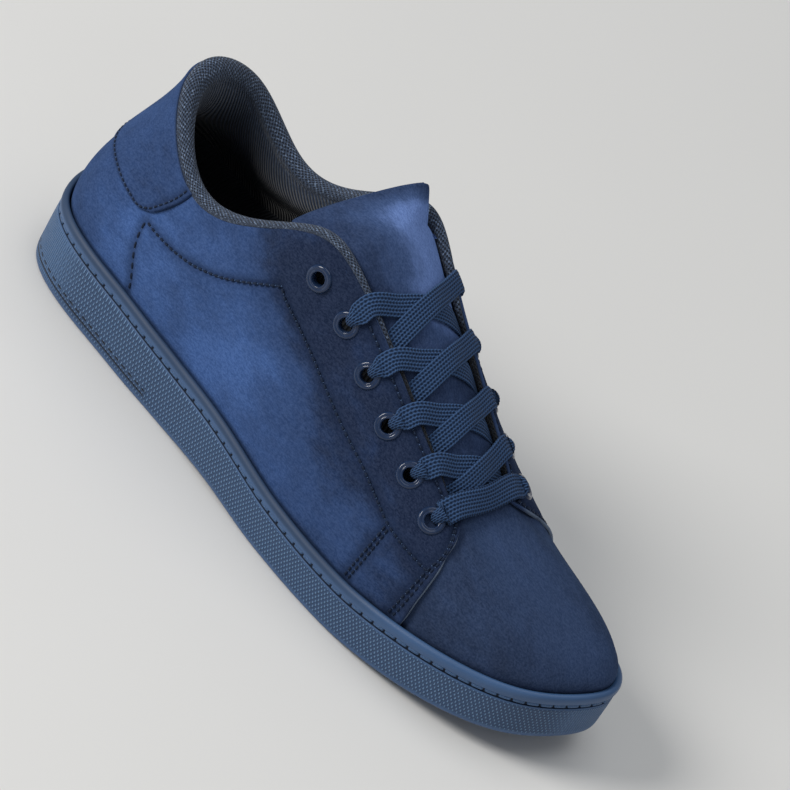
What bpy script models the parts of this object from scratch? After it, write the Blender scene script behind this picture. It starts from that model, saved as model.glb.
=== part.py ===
"""Low suede lace-up sneaker, right shoe, standing empty on its sole.

A moulded rubber cupsole holds one hollow suede upper. The toe points to +X and the outer
side of the foot is -Y. Heights are measured from the floor, and the origin is on the floor
under the middle of the outsole.
"""
import math
from collections import namedtuple

import bmesh
import bpy
import numpy as np
from mathutils import Matrix, Vector

# Driving dimensions, in metres
LENGTH = 0.273
BALL_WIDTH = 0.0865
HEEL_HEIGHT = 0.095
TOE_SPRING = 0.0128
SPRING_START = 0.69
SPRING_POWER = 1.6
HEEL_BEVEL = 0.0022
HEEL_BEVEL_SHARE = 0.04
ARCH_RISE = 0.0014
ARCH = (0.32, 0.56)
LIP = 0.0036
GAP = 0.0003
WALL = 0.0022
COLLAR_PAD = 0.0055
FLOOR_HEIGHT = 0.012
HEEL_LIFT = 0.002
INSOLE_THICKNESS = 0.004
INSOLE_ROOM = 0.0006
INSOLE_BEVEL = 0.0007
TAB_THICKNESS = 0.0012
EYELET_HOLE = 0.0032
LACE_WIDTH = 0.0078
LACE_THICKNESS = 0.0014

PERCENT = 0.01
STEPS_PER_SECTION = 3
RISE_STEPS = 8

# Each row is one section of the last, from the toe tip back to the heel. The outer and the
# inner outline are in hundredths of LENGTH (from the heel) and of BALL_WIDTH (inner side
# positive). The opening edge above it is in hundredths of LENGTH, BALL_WIDTH and
# HEEL_HEIGHT. Lift and drop are shares of the section's rise, lean and reach millimetres.
Section = namedtuple(
    "Section",
    "name out_along out_across in_along in_across edge_along edge_half edge_height "
    "lift lean reach drop",
)
SECTIONS = (
    Section("toe_tip", 100.0, 13.9, 100.0, 13.9, 74.9, 0.0, 57.7, 0.60, 1.5, 28.0, 0.33),
    Section("toe_corner", 98.0, -6.9, 98.4, 28.3, 74.7, 6.9, 57.9, 0.60, 1.5, 27.0, 0.33),
    Section("toe_side", 93.8, -23.7, 94.0, 37.6, 74.2, 12.7, 58.7, 0.56, 1.5, 24.0, 0.33),
    Section("fore_front", 86.6, -35.8, 85.3, 44.5, 72.5, 16.8, 61.6, 0.48, 1.5, 18.0, 0.34),
    Section("fore", 76.2, -44.5, 76.6, 48.6, 69.2, 18.5, 68.4, 0.46, 1.5, 14.0, 0.30),
    Section("ball", 63.7, -48.3, 68.1, 49.5, 63.7, 19.7, 77.4, 0.44, 2.0, 14.0, 0.25),
    Section("instep", 52.0, -47.4, 56.8, 46.2, 57.5, 21.2, 87.9, 0.42, 2.0, 14.5, 0.22),
    Section("waist", 42.1, -45.1, 45.4, 40.5, 50.5, 23.7, 99.5, 0.40, 2.5, 13.0, 0.23),
    Section("shank", 33.7, -43.4, 35.5, 37.6, 43.6, 27.7, 110.5, 0.38, 2.5, 10.0, 0.26),
    Section("ankle_front", 26.7, -43.4, 27.5, 37.6, 37.0, 30.1, 108.4, 0.38, 2.5, 6.0, 0.32),
    Section("ankle", 19.4, -42.8, 19.8, 38.2, 28.2, 30.6, 87.4, 0.38, 2.5, 4.0, 0.35),
    Section("heel_side", 11.4, -41.6, 11.4, 37.6, 19.0, 30.6, 80.0, 0.38, 3.0, 3.0, 0.38),
    Section("heel_corner", 2.9, -31.2, 3.3, 26.0, 10.0, 20.4, 93.5, 0.38, 3.5, 2.0, 0.38),
    Section("heel_back", -0.2, -2.3, -0.2, -2.3, 6.4, 0.0, 102.0, 0.36, 3.5, 1.5, 0.36),
)
# The pad of the collar stands out further on the inner side of these sections, in metres
INNER_SWELL = {"heel_corner": 0.004}
LAST = len(SECTIONS) - 1
RING = 2 * LAST

# Height of the sidewall's lip above the tread, in millimetres, heel to toe
Lip = namedtuple("Lip", "along height")
LIPS = (
    Lip(0.0, 29.0),
    Lip(0.20, 28.3),
    Lip(0.37, 25.8),
    Lip(0.50, 22.8),
    Lip(0.66, 21.4),
    Lip(0.80, 22.0),
    Lip(1.0, 21.5),
)

# Tongue sections under the facings: the ring number whose facing edges it passes under, the
# crown above those edges, how far it reaches under them (share of the rise) and its thickness
TongueSection = namedtuple("TongueSection", "ring crown tuck thickness")
TONGUE = (
    TongueSection(0.35, 0.6, 0.16, 2.0),
    TongueSection(1.5, 1.4, 0.16, 2.4),
    TongueSection(3.0, 3.2, 0.15, 3.0),
    TongueSection(4.5, 6.0, 0.13, 4.0),
    TongueSection(6.0, 8.0, 0.12, 5.0),
    TongueSection(7.2, 8.6, 0.10, 5.5),
    TongueSection(8.0, 8.6, 0.07, 5.5),
)
# Free upper end of the tongue, in millimetres: its crest, half width, droop of its borders and
# thickness. It leans towards the outer ankle, so its inner side stands further up and forward
TongueTop = namedtuple("TongueTop", "along height half droop thickness skew rise")
TONGUE_TOP = (
    TongueTop(113.0, 111.4, 21.2, 8.5, 5.6, 0.12, 0.15),
    TongueTop(106.0, 111.2, 21.0, 6.5, 5.6, 0.28, 0.40),
    TongueTop(99.0, 109.4, 20.5, 4.0, 4.8, 0.42, 0.60),
    TongueTop(96.5, 108.2, 19.0, 2.5, 2.8, 0.46, 0.66),
)

# Eyelets from the ankle down to the toe: ring number, and distance in millimetres from the
# facing's edge
Seat = namedtuple("Seat", "ring inset")
SEATS = (
    Seat(7.97, 13.2),
    Seat(7.09, 10.9),
    Seat(6.26, 10.7),
    Seat(5.43, 10.7),
    Seat(4.62, 10.9),
    Seat(3.82, 13.0),
)

# Heel tab, from the middle of the heel forwards: the ring distance of its columns and the
# share of the rise at which its lower edge runs
TabColumn = namedtuple("TabColumn", "spread low")
TAB = (
    TabColumn(0.0, 0.39),
    TabColumn(0.6, 0.405),
    TabColumn(1.2, 0.465),
    TabColumn(1.7, 0.52),
    TabColumn(1.95, 0.565),
    TabColumn(2.1, 0.655),
)
TAB_LEAN = 0.04
TAB_TOP = 0.985

# Sidewall section from the tread up over the lip and down into the cup: inset from the
# outline in millimetres, share of the height between tread and rim, added millimetres
WallPoint = namedtuple("WallPoint", "inset share added")
SIDEWALL = (
    WallPoint(3.0, 0.0, 0.0),
    WallPoint(1.1, 0.0, 0.6),
    WallPoint(0.4, 0.0, 2.2),
    WallPoint(0.0, 0.45, 0.0),
    WallPoint(0.2, 1.0, -5.2),
    WallPoint(0.0, 1.0, -1.6),
    WallPoint(0.8, 1.0, -0.4),
    WallPoint(2.0, 1.0, 0.0),
    WallPoint(3.2, 1.0, -0.5),
    WallPoint(3.6, 1.0, -2.0),
)

# Eyelet section, in millimetres: radius, and height over the facing
EyeletPoint = namedtuple("EyeletPoint", "radius height")
EYELET_PROFILE = (
    EyeletPoint(2.4, -2.6),
    EyeletPoint(2.95, -2.6),
    EyeletPoint(2.95, 0.4),
    EyeletPoint(5.1, 0.4),
    EyeletPoint(4.9, 1.1),
    EyeletPoint(3.9, 1.5),
    EyeletPoint(2.6, 1.2),
)
EYELET_SIDES = 12
CUTTER_DEPTH = 0.012

# Clearances that keep the upper, the tongue, the eyelets and the lace apart
UPPER_INSET = LIP + GAP
TONGUE_ROOM = 0.0013
THROAT_ROOM = 0.0036
FACING_CLEARANCE = 0.0025
FLANGE_CLEARANCE = 0.0028
TONGUE_CLEARANCE = 0.0017

# The lace climbs from the tongue to the facing's edge over this distance before it
CLIMB_START = 0.0078
CLIMB = 0.0045
# Where each crossing starts beside the facing it comes from, and how far the bar and the
# crossings into the inner eyelets are raised over the others
CROSSING_START = 0.86
CROSSING_SHIFT = 0.04
BAR_RAISED = 0.0008
CROSSING_RAISED = 0.0005

SMALL_STEP = 0.02
MM = 0.001


def clear_scene():
    for item in list(bpy.data.objects):
        bpy.data.objects.remove(item, do_unlink=True)


# ---------------------------------------------------------------- curves of the last

def closed_spline(values):
    """Smooth closed curve through the values; returns a function of the ring number."""
    values = np.asarray(values, float)
    unit = np.eye(len(values))
    system = 4.0 * unit + np.roll(unit, 1, 0) + np.roll(unit, -1, 0)
    slopes = np.linalg.solve(system, 3.0 * (np.roll(values, -1, 0) - np.roll(values, 1, 0)))

    def at(ring):
        first = int(math.floor(ring))
        f = ring - first
        first %= len(values)
        second = (first + 1) % len(values)
        return (
            values[first] * (1 + 2 * f) * (1 - f) ** 2
            + slopes[first] * f * (1 - f) ** 2
            + values[second] * f * f * (3 - 2 * f)
            - slopes[second] * f * f * (1 - f)
        )

    return at


def open_spline(stations, values):
    """Smooth curve through values at rising stations, with flat slopes allowed at turns."""
    stations = np.asarray(stations, float)
    values = np.asarray(values, float)
    steps = np.diff(stations)
    rises = np.diff(values) / steps
    slopes = np.concatenate([rises[:1], (rises[1:] + rises[:-1]) / 2.0, rises[-1:]])

    def at(station):
        station = min(max(station, stations[0]), stations[-1])
        k = min(int(np.searchsorted(stations, station, "right")) - 1, len(steps) - 1)
        f = (station - stations[k]) / steps[k]
        return (
            values[k] * (1 + 2 * f) * (1 - f) ** 2
            + slopes[k] * steps[k] * f * (1 - f) ** 2
            + values[k + 1] * f * f * (3 - 2 * f)
            - slopes[k + 1] * steps[k] * f * f * (1 - f)
        )

    return at


def ring_values(outer, inner):
    """One value per ring number: down the outer side to the heel, back along the inner."""
    return [outer(row) for row in SECTIONS] + [inner(row) for row in SECTIONS[-2:0:-1]]


outline_spline = closed_spline(np.column_stack([
    ring_values(lambda r: r.out_along * PERCENT * LENGTH, lambda r: r.in_along * PERCENT * LENGTH),
    ring_values(lambda r: r.out_across * PERCENT * BALL_WIDTH,
                lambda r: r.in_across * PERCENT * BALL_WIDTH),
]))
edge_spline = closed_spline(np.column_stack([
    ring_values(lambda r: r.edge_along * PERCENT * LENGTH, lambda r: r.edge_along * PERCENT * LENGTH),
    ring_values(lambda r: -r.edge_half * PERCENT * BALL_WIDTH,
                lambda r: r.edge_half * PERCENT * BALL_WIDTH + INNER_SWELL.get(r.name, 0.0)),
    ring_values(lambda r: r.edge_height * PERCENT * HEEL_HEIGHT,
                lambda r: r.edge_height * PERCENT * HEEL_HEIGHT),
]))
handle_spline = closed_spline(np.column_stack([
    ring_values(lambda r: r.lift, lambda r: r.lift),
    ring_values(lambda r: r.lean * MM, lambda r: r.lean * MM),
    ring_values(lambda r: r.reach * MM, lambda r: r.reach * MM),
    ring_values(lambda r: r.drop, lambda r: r.drop),
]))
lip_spline = open_spline([row.along for row in LIPS], [row.height * MM for row in LIPS])


def tread_height(x):
    """Underside of the sole: bevelled heel edge, two flat spots, arch and toe spring."""
    share = x / LENGTH
    if share < HEEL_BEVEL_SHARE:
        return HEEL_BEVEL * (1 - share / HEEL_BEVEL_SHARE) ** 2
    if ARCH[0] < share < ARCH[1]:
        return ARCH_RISE * math.sin(math.pi * (share - ARCH[0]) / (ARCH[1] - ARCH[0])) ** 2
    if share > SPRING_START:
        return TOE_SPRING * ((share - SPRING_START) / (1 - SPRING_START)) ** SPRING_POWER
    return 0.0


def rim_height(x):
    return tread_height(x) + lip_spline(x / LENGTH)


def floor_height(x):
    """Top of the cup's floor, which follows the tread."""
    return tread_height(x) + FLOOR_HEIGHT + HEEL_LIFT * max(0.0, 1 - 3 * x / LENGTH)


def outline_at(ring, inset=0.0):
    """Point of the sole's plan outline, moved inwards by inset."""
    x, y = outline_spline(ring)
    ahead = outline_spline(ring + SMALL_STEP)
    behind = outline_spline(ring - SMALL_STEP)
    along = Vector((ahead[0] - behind[0], ahead[1] - behind[1], 0)).normalized()
    outward = Vector((along.y, -along.x, 0))
    if outward.dot(Vector((x - LENGTH / 2, y, 0))) < 0:
        outward = -outward
    return Vector((x, y, 0)) - outward * inset, outward


def plan_middle():
    """Middle of the sole's plan outline, which is where the origin lies."""
    points = [outline_spline(k / 40) for k in range(40 * RING)]
    lows = np.min(points, axis=0)
    highs = np.max(points, axis=0)
    return (lows + highs) / 2


# ---------------------------------------------------------------- the upper's own surface

def upper_point(ring, rise):
    """Outer face of the upper. Rise is 0 at the sole's lip and 1 at the opening edge."""
    foot, outward = outline_at(ring, UPPER_INSET)
    foot.z = rim_height(foot.x)
    edge = Vector(edge_spline(ring))
    lift, lean, reach, drop = handle_spline(ring)
    height = edge.z - foot.z
    over = foot - edge
    over.z = 0
    over = (over + outward * 0.02).normalized()
    low = foot + outward * lean + Vector((0, 0, lift * height))
    high = edge + over * reach - Vector((0, 0, drop * height))
    s = 1 - rise
    return foot * s ** 3 + low * 3 * s * s * rise + high * 3 * s * rise * rise + edge * rise ** 3


def upper_normal(ring, rise):
    """Unit normal of the outer face, pointing out of the shoe."""
    low, high = max(rise - SMALL_STEP, 0.0), min(rise + SMALL_STEP, 1.0)
    up = upper_point(ring, high) - upper_point(ring, low)
    around = upper_point(ring + SMALL_STEP, rise) - upper_point(ring - SMALL_STEP, rise)
    return up.cross(around).normalized()


def collar_share(ring):
    """1 round the padded collar, fading to 0 at the laced facings."""
    from_heel = abs((ring % RING) - LAST)
    return min(max((6.0 - from_heel) / 2.0, 0.0), 1.0)


def wall_at(ring, rise):
    """Thickness of the upper's wall, with the padded collar's bulge near its top."""
    heel = max(0.0, 1 - abs((ring % RING) - LAST) / 2.5)
    bulge = math.sin(math.pi * min(max((rise - 0.45) / 0.75, 0.0), 1.0)) ** 2
    return WALL + collar_share(ring) * (COLLAR_PAD * bulge * (0.7 + 0.5 * heel))


def offset_point(ring, rise, depth):
    """Point at a depth under the outer face."""
    return upper_point(ring, rise) - upper_normal(ring, rise) * depth


# ---------------------------------------------------------------- mesh helpers

def add_material(piece, name, colour, roughness, metallic=0.0):
    material = bpy.data.materials.new(name)
    material.use_nodes = True
    shader = material.node_tree.nodes["Principled BSDF"]
    shader.inputs["Base Color"].default_value = (*colour, 1.0)
    shader.inputs["Roughness"].default_value = roughness
    shader.inputs["Metallic"].default_value = metallic
    piece.data.materials.append(material)


def suede(piece):
    add_material(piece, "navy suede", (0.030, 0.052, 0.125), 0.95)


def rubber(piece):
    add_material(piece, "navy rubber", (0.035, 0.065, 0.115), 0.60)


def woven(piece):
    add_material(piece, "navy lace", (0.018, 0.035, 0.085), 0.90)


def knit(piece):
    add_material(piece, "grey knit", (0.050, 0.065, 0.095), 0.95)


def enamel(piece):
    add_material(piece, "navy enamelled metal", (0.022, 0.036, 0.075), 0.25, 0.6)


def make_piece(name, mesh_builder):
    """Put a finished bmesh into the scene, centred on the shoe's own origin."""
    shift = Vector((-MIDDLE[0], -MIDDLE[1], 0))
    bmesh.ops.translate(mesh_builder, verts=mesh_builder.verts, vec=shift)
    mesh = bpy.data.meshes.new(name)
    mesh_builder.to_mesh(mesh)
    mesh_builder.free()
    mesh.shade_smooth()
    mesh.set_sharp_from_angle(angle=math.radians(40))
    piece = bpy.data.objects.new(name, mesh)
    bpy.context.scene.collection.objects.link(piece)
    return piece


def loft(rings, closed_around=True, closed_along=False):
    """Skin a list of equal rings of points; returns the bmesh and its rows of vertices."""
    builder = bmesh.new()
    rows = [[builder.verts.new(point) for point in ring] for ring in rings]
    pairs = list(zip(rows[:-1], rows[1:]))
    if closed_along:
        pairs.append((rows[-1], rows[0]))
    count = len(rows[0])
    span = count if closed_around else count - 1
    for low, high in pairs:
        for k in range(span):
            j = (k + 1) % count
            builder.faces.new((low[k], low[j], high[j], high[k]))
    return builder, rows


def close_across(builder, row, upwards):
    """Fill a ring that runs round the shoe with strips from its outer to its inner side."""
    count = len(row)
    half = count // 2
    for k in range(half):
        corners = [row[k], row[k + 1], row[(count - k - 1) % count], row[(count - k) % count]]
        ordered = []
        for corner in corners:
            if corner not in ordered:
                ordered.append(corner)
        face = builder.faces.new(ordered)
        face.normal_update()
        if (face.normal.z > 0) != upwards:
            face.normal_flip()


def point_out(builder):
    bmesh.ops.recalc_face_normals(builder, faces=builder.faces)


RINGS = [k / STEPS_PER_SECTION for k in range(RING * STEPS_PER_SECTION)]


# ---------------------------------------------------------------- sub-parts

def cupsole():
    """One moulded cup: tread, bulged sidewall with a rolled lip, and the cavity."""
    rings = []
    for inset, share, added in SIDEWALL:
        ring = []
        for number in RINGS:
            point, _ = outline_at(number, inset * MM)
            tread = tread_height(point.x)
            point.z = tread + share * (rim_height(point.x) - tread) + added * MM
            ring.append(point)
        rings.append(ring)
    floor = []
    for number in RINGS:
        point, _ = outline_at(number, LIP)
        point.z = floor_height(point.x)
        floor.append(point)
    rings.append(floor)
    builder, rows = loft(rings)
    close_across(builder, rows[0], False)
    close_across(builder, rows[-1], True)
    point_out(builder)
    piece = make_piece("cupsole", builder)
    rubber(piece)
    return piece


def upper_rings():
    """Rings of the shell: up the outer face, over the rolled edge and down the inner face."""
    outer = []
    skirt = [offset_point(number, 0.0, 0.0) for number in RINGS]
    for point in skirt:
        point.z = floor_height(point.x) + GAP
    outer.append(skirt)
    rises = [k / RISE_STEPS for k in range(RISE_STEPS + 1)]
    for rise in rises:
        outer.append([upper_point(number, rise) for number in RINGS])
    inner = []
    for rise in rises:
        inner.append([offset_point(number, rise, wall_at(number, rise)) for number in RINGS])
    inner_skirt = []
    for number, point in zip(RINGS, skirt):
        _, outward = outline_at(number)
        inner_skirt.append(point - outward * WALL)
    roll = []
    for turn in (0.25, 0.5, 0.75):
        ring = []
        for number, out_point, in_point in zip(RINGS, outer[-1], inner[-1]):
            middle = (out_point + in_point) / 2
            up = (upper_point(number, 1.0) - upper_point(number, 0.96)).normalized()
            radius = (out_point - in_point).length / 2
            angle = math.pi * turn
            ring.append(middle + (out_point - middle) * math.cos(angle) + up * radius * math.sin(angle))
        roll.append(ring)
    return outer + roll + inner[::-1] + [inner_skirt]


def upper(cutters):
    """The hollow shell: vamp and quarters in one wall, with its eyelet holes."""
    builder, _ = loft(upper_rings(), closed_along=True)
    point_out(builder)
    piece = make_piece("upper", builder)
    suede(piece)
    for cutter in cutters:
        hole = piece.modifiers.new(cutter.name, "BOOLEAN")
        hole.operation = "DIFFERENCE"
        hole.solver = "EXACT"
        hole.object = cutter
    return piece


def insole():
    """Footbed lying in the cup, inside the upper's lower margin."""
    inset = UPPER_INSET + WALL + INSOLE_ROOM
    bevel = INSOLE_BEVEL
    levels = ((inset + bevel, 0.0), (inset, bevel), (inset, INSOLE_THICKNESS - bevel),
              (inset + bevel, INSOLE_THICKNESS))
    rings = []
    for depth, level in levels:
        ring = []
        for number in RINGS[::2]:
            point, _ = outline_at(number, depth)
            point.z = floor_height(point.x) + 2 * GAP + level
            ring.append(point)
        rings.append(ring)
    builder, rows = loft(rings)
    close_across(builder, rows[0], False)
    close_across(builder, rows[-1], True)
    point_out(builder)
    piece = make_piece("insole", builder)
    knit(piece)
    return piece


def slab(tops, depths, name):
    """Closed sheet: a grid of (point, normal) pairs given a thickness under it."""
    rings = []
    for row, depth in zip(tops, depths):
        under = [point - normal * depth for point, normal in row]
        rings.append([point for point, _ in row] + under[::-1])
    builder, rows = loft(rings)
    half = len(rings[0]) // 2
    for row in (rows[0], rows[-1]):
        for k in range(half - 1):
            builder.faces.new((row[k], row[k + 1], row[-2 - k], row[-1 - k]))
    point_out(builder)
    return make_piece(name, builder)


def with_normals(grid):
    """Pair each point of a grid with its upward unit normal."""
    pairs = []
    for j, row in enumerate(grid):
        before = grid[max(j - 1, 0)]
        after = grid[min(j + 1, len(grid) - 1)]
        line = []
        for k, point in enumerate(row):
            across = row[min(k + 1, len(row) - 1)] - row[max(k - 1, 0)]
            normal = (after[k] - before[k]).cross(across).normalized()
            line.append((point, normal if normal.z > 0 else -normal))
        pairs.append(line)
    return pairs


tongue_sections = [row.ring for row in TONGUE]
tongue_crown = open_spline(tongue_sections, [row.crown * MM for row in TONGUE])
tongue_tuck = open_spline(tongue_sections, [row.tuck for row in TONGUE])
tongue_depth = open_spline(tongue_sections, [row.thickness * MM for row in TONGUE])


def tongue_row(ring):
    """Section of the tongue's outer face between and under the facings at a ring number."""
    tuck = tongue_tuck(ring)
    under = []
    for share in (1.0, 0.66, 0.33):
        rise = 1 - tuck * share
        sides = []
        for number in (ring, RING - ring):
            depth = wall_at(number, rise) + TONGUE_ROOM
            sides.append(offset_point(number, rise, depth))
        under.append(sides)
    edge = Vector(edge_spline(ring))
    back = THROAT_ROOM * max(0.0, 1 - ring / 2.5)
    between = []
    for q in (-0.8, -0.6, -0.3, 0.0, 0.3, 0.6, 0.8):
        height = edge.z - WALL - TONGUE_ROOM + tongue_crown(ring) * (1 - q * q)
        between.append(Vector((edge.x - back, abs(edge.y) * q, height)))
    return [pair[0] for pair in under] + between + [pair[1] for pair in under[::-1]]


def tongue_top_row(section):
    """Section of the tongue's free end, above the facings."""
    row = []
    for q in (-1.0, -0.94, -0.86, -0.76, -0.6, -0.35, 0.0, 0.35, 0.6, 0.76, 0.86, 0.94, 1.0):
        y = section.half * q
        droop = section.droop * abs(q) ** 3
        height = section.height - droop + section.rise * y
        row.append(Vector((section.along + section.skew * y, y, height)) * MM)
    return row


def tongue():
    """Padded tongue: its sewn end under the vamp, arched between the facings, free at the top."""
    first, last = TONGUE[0].ring, TONGUE[-1].ring
    steps = 11
    numbers = [first + (last - first) * k / steps for k in range(steps + 1)]
    grid = [tongue_row(number) for number in numbers]
    depths = [tongue_depth(number) for number in numbers]
    grid += [tongue_top_row(section) for section in TONGUE_TOP]
    depths += [section.thickness * MM for section in TONGUE_TOP]
    piece = slab(with_normals(grid), depths, "tongue")
    suede(piece)
    return piece


def heel_tab():
    """Suede overlay wrapped round the back of the quarters, from its own rounded lower edge
    up to the collar."""
    low_at = open_spline([row.spread for row in TAB], [row.low for row in TAB])
    reach = TAB[-1].spread
    columns = 20
    rows = 7
    grid = []
    for j in range(rows + 1):
        line = []
        for k in range(columns + 1):
            a = 2 * k / columns - 1
            spread = reach * abs(a)
            low = low_at(spread)
            rise = low + (TAB_TOP - low) * j / rows
            lean = TAB_LEAN * (j / rows - 0.5) * abs(a) ** 3
            number = LAST + math.copysign(spread + lean, a)
            normal = upper_normal(number, rise)
            line.append((upper_point(number, rise) + normal * (2 * GAP + TAB_THICKNESS), normal))
        grid.append(line)
    piece = slab(grid, [TAB_THICKNESS] * len(grid), "heel_tab")
    suede(piece)
    return piece


# ---------------------------------------------------------------- eyelets and lace

def eyelet_seat(side, number):
    """Ring number and rise of an eyelet's centre; side -1 is the outer facing."""
    seat = SEATS[number - 1]
    ring = seat.ring if side < 0 else RING - seat.ring
    rise = 1.0
    point = upper_point(ring, rise)
    travelled = 0.0
    while travelled < seat.inset * MM:
        rise -= 0.002
        following = upper_point(ring, rise)
        travelled += (following - point).length
        point = following
    return ring, rise


def seat_matrix(side, number):
    """Frame at an eyelet: its Z axis stands straight out of the facing."""
    ring, rise = eyelet_seat(side, number)
    normal = upper_normal(ring, rise)
    turn = normal.to_track_quat("Z", "Y").to_matrix().to_4x4()
    return Matrix.Translation(upper_point(ring, rise)) @ turn


def eyelet(side, number, name):
    """Pressed metal ring: domed flange outside, barrel through the facing's hole."""
    turns = [2 * math.pi * k / EYELET_SIDES for k in range(EYELET_SIDES)]
    rings = []
    for radius, height in EYELET_PROFILE:
        rings.append([
            Vector((radius * math.cos(turn), radius * math.sin(turn), height)) * MM
            for turn in turns
        ])
    builder, _ = loft(rings, closed_along=True)
    bmesh.ops.transform(builder, matrix=seat_matrix(side, number), verts=builder.verts)
    point_out(builder)
    piece = make_piece(name, builder)
    enamel(piece)
    return piece


def eyelet_cutter(side, number, name):
    builder = bmesh.new()
    bmesh.ops.create_cone(builder, cap_ends=True, segments=EYELET_SIDES, radius1=EYELET_HOLE,
                          radius2=EYELET_HOLE, depth=CUTTER_DEPTH)
    bmesh.ops.transform(builder, matrix=seat_matrix(side, number), verts=builder.verts)
    cutter = make_piece(name, builder)
    cutter.hide_render = True
    cutter.display_type = "WIRE"
    return cutter


seat_inset = open_spline([row.ring for row in SEATS[::-1]], [row.inset * MM for row in SEATS[::-1]])


def eyelet_rise(ring):
    """Rise of the line of eyelets below the facing's edge."""
    span = (upper_point(ring, 1.0) - upper_point(ring, 0.8)).length
    return 1 - 0.2 * seat_inset(min(ring, RING - ring)) / span


def lace_deck(ring, across, raised):
    """Middle of the lace's thickness. Across is -1 and 1 at the two facing edges and grows
    by 1 over each facing as far as its eyelet; ring is counted on either side alike."""
    side = -1 if across < 0 else 1
    number = ring if side < 0 else RING - ring
    edge = Vector(edge_spline(ring))
    edge.y = side * abs(edge.y)
    if abs(across) >= 1:
        beyond = abs(across) - 1
        rise = 1 - beyond * (1 - eyelet_rise(number))
        height = FACING_CLEARANCE + (FLANGE_CLEARANCE - FACING_CLEARANCE) * min(beyond * 2.2, 1.0)
        return offset_point(number, rise, -height - raised)
    half = abs(edge.y)
    y = half * abs(across)
    climb = min(max((y - half + CLIMB_START) / CLIMB, 0.0), 1.0)
    climb = climb * climb * (3 - 2 * climb)
    low = edge.z - WALL - TONGUE_ROOM + tongue_crown(ring) * (1 - across * across)
    over = edge + upper_normal(number, 1.0) * (FACING_CLEARANCE + raised)
    middle = Vector((edge.x, edge.y * abs(across), low + TONGUE_CLEARANCE + raised))
    top = Vector((edge.x, edge.y * abs(across), edge.z)) + (over - edge)
    return middle * (1 - climb) + top * climb


def band(start, end, raised, name):
    """One stretch of flat lace from one (ring, across) to another."""
    steps = 12
    small = 0.01
    rings = []
    for k in range(steps + 1):
        u = k / steps
        ring = start[0] + (end[0] - start[0]) * u
        across = start[1] + (end[1] - start[1]) * u
        point = lace_deck(ring, across, raised)
        along_ring = (lace_deck(ring + small, across, raised) - point) / small
        along_across = (lace_deck(ring, across + small, raised) - point) / small
        normal = along_across.cross(along_ring).normalized()
        if normal.z < 0:
            normal = -normal
        tangent = (along_ring * (end[0] - start[0]) + along_across * (end[1] - start[1])).normalized()
        width = normal.cross(tangent)
        rr = along_ring.dot(along_ring)
        ra = along_ring.dot(along_across)
        aa = along_across.dot(along_across)
        wr = width.dot(along_ring)
        wa = width.dot(along_across)
        scale = rr * aa - ra * ra
        ring_share = (wr * aa - wa * ra) / scale
        across_share = (wa * rr - wr * ra) / scale
        tops = []
        for offset in (-0.5, 0.0, 0.5):
            reach = offset * LACE_WIDTH
            place = lace_deck(ring + ring_share * reach, across + across_share * reach, raised)
            tops.append(place)
        half = normal * (LACE_THICKNESS / 2)
        rings.append([p + half for p in tops] + [p - half for p in tops[::-1]])
    builder, rows = loft(rings)
    for row in (rows[0], rows[-1]):
        builder.faces.new((row[0], row[1], row[4], row[5]))
        builder.faces.new((row[1], row[2], row[3], row[4]))
    point_out(builder)
    return make_piece(name, builder)


def laces():
    """The lace's bar at the toe end and its crossings up to the second eyelets, joined."""
    last = SEATS[-1].ring
    bands = [band((last, -2.0), (last, 2.0), BAR_RAISED, "laces")]
    for number in range(len(SEATS), 2, -1):
        for side in (-1, 1):
            start = (SEATS[number - 1].ring - CROSSING_SHIFT, -CROSSING_START * side)
            end = (SEATS[number - 2].ring, 2.0 * side)
            raised = CROSSING_RAISED if side > 0 else 0.0
            bands.append(band(start, end, raised, f"lace_crossing_{number}_{side}"))
    piece = bands[0]
    for other in bands[1:]:
        joint = piece.modifiers.new(other.name, "BOOLEAN")
        joint.operation = "UNION"
        joint.solver = "EXACT"
        joint.object = other
        other.hide_render = True
        other.display_type = "WIRE"
    woven(piece)
    return piece


MIDDLE = plan_middle()


def main():
    clear_scene()
    cupsole()
    cutters = []
    for side, name in ((-1, "lateral"), (1, "medial")):
        for number in range(1, len(SEATS) + 1):
            eyelet(side, number, f"eyelet_{name}_{number}")
            cutters.append(eyelet_cutter(side, number, f"cutter_{name}_{number}"))
    upper(cutters)
    insole()
    tongue()
    heel_tab()
    laces()


main()
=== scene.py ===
"""Low lace-up sneaker of navy suede on a moulded rubber cupsole: the right shoe, empty.

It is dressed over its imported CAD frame. The toe points to +X, the outer side of the foot is
-Y, and the shoe stands on the floor at height 0. Lengths are in metres.
"""
import math

import bmesh
import bpy
import numpy as np
from mathutils import Matrix, Vector, kdtree


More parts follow.
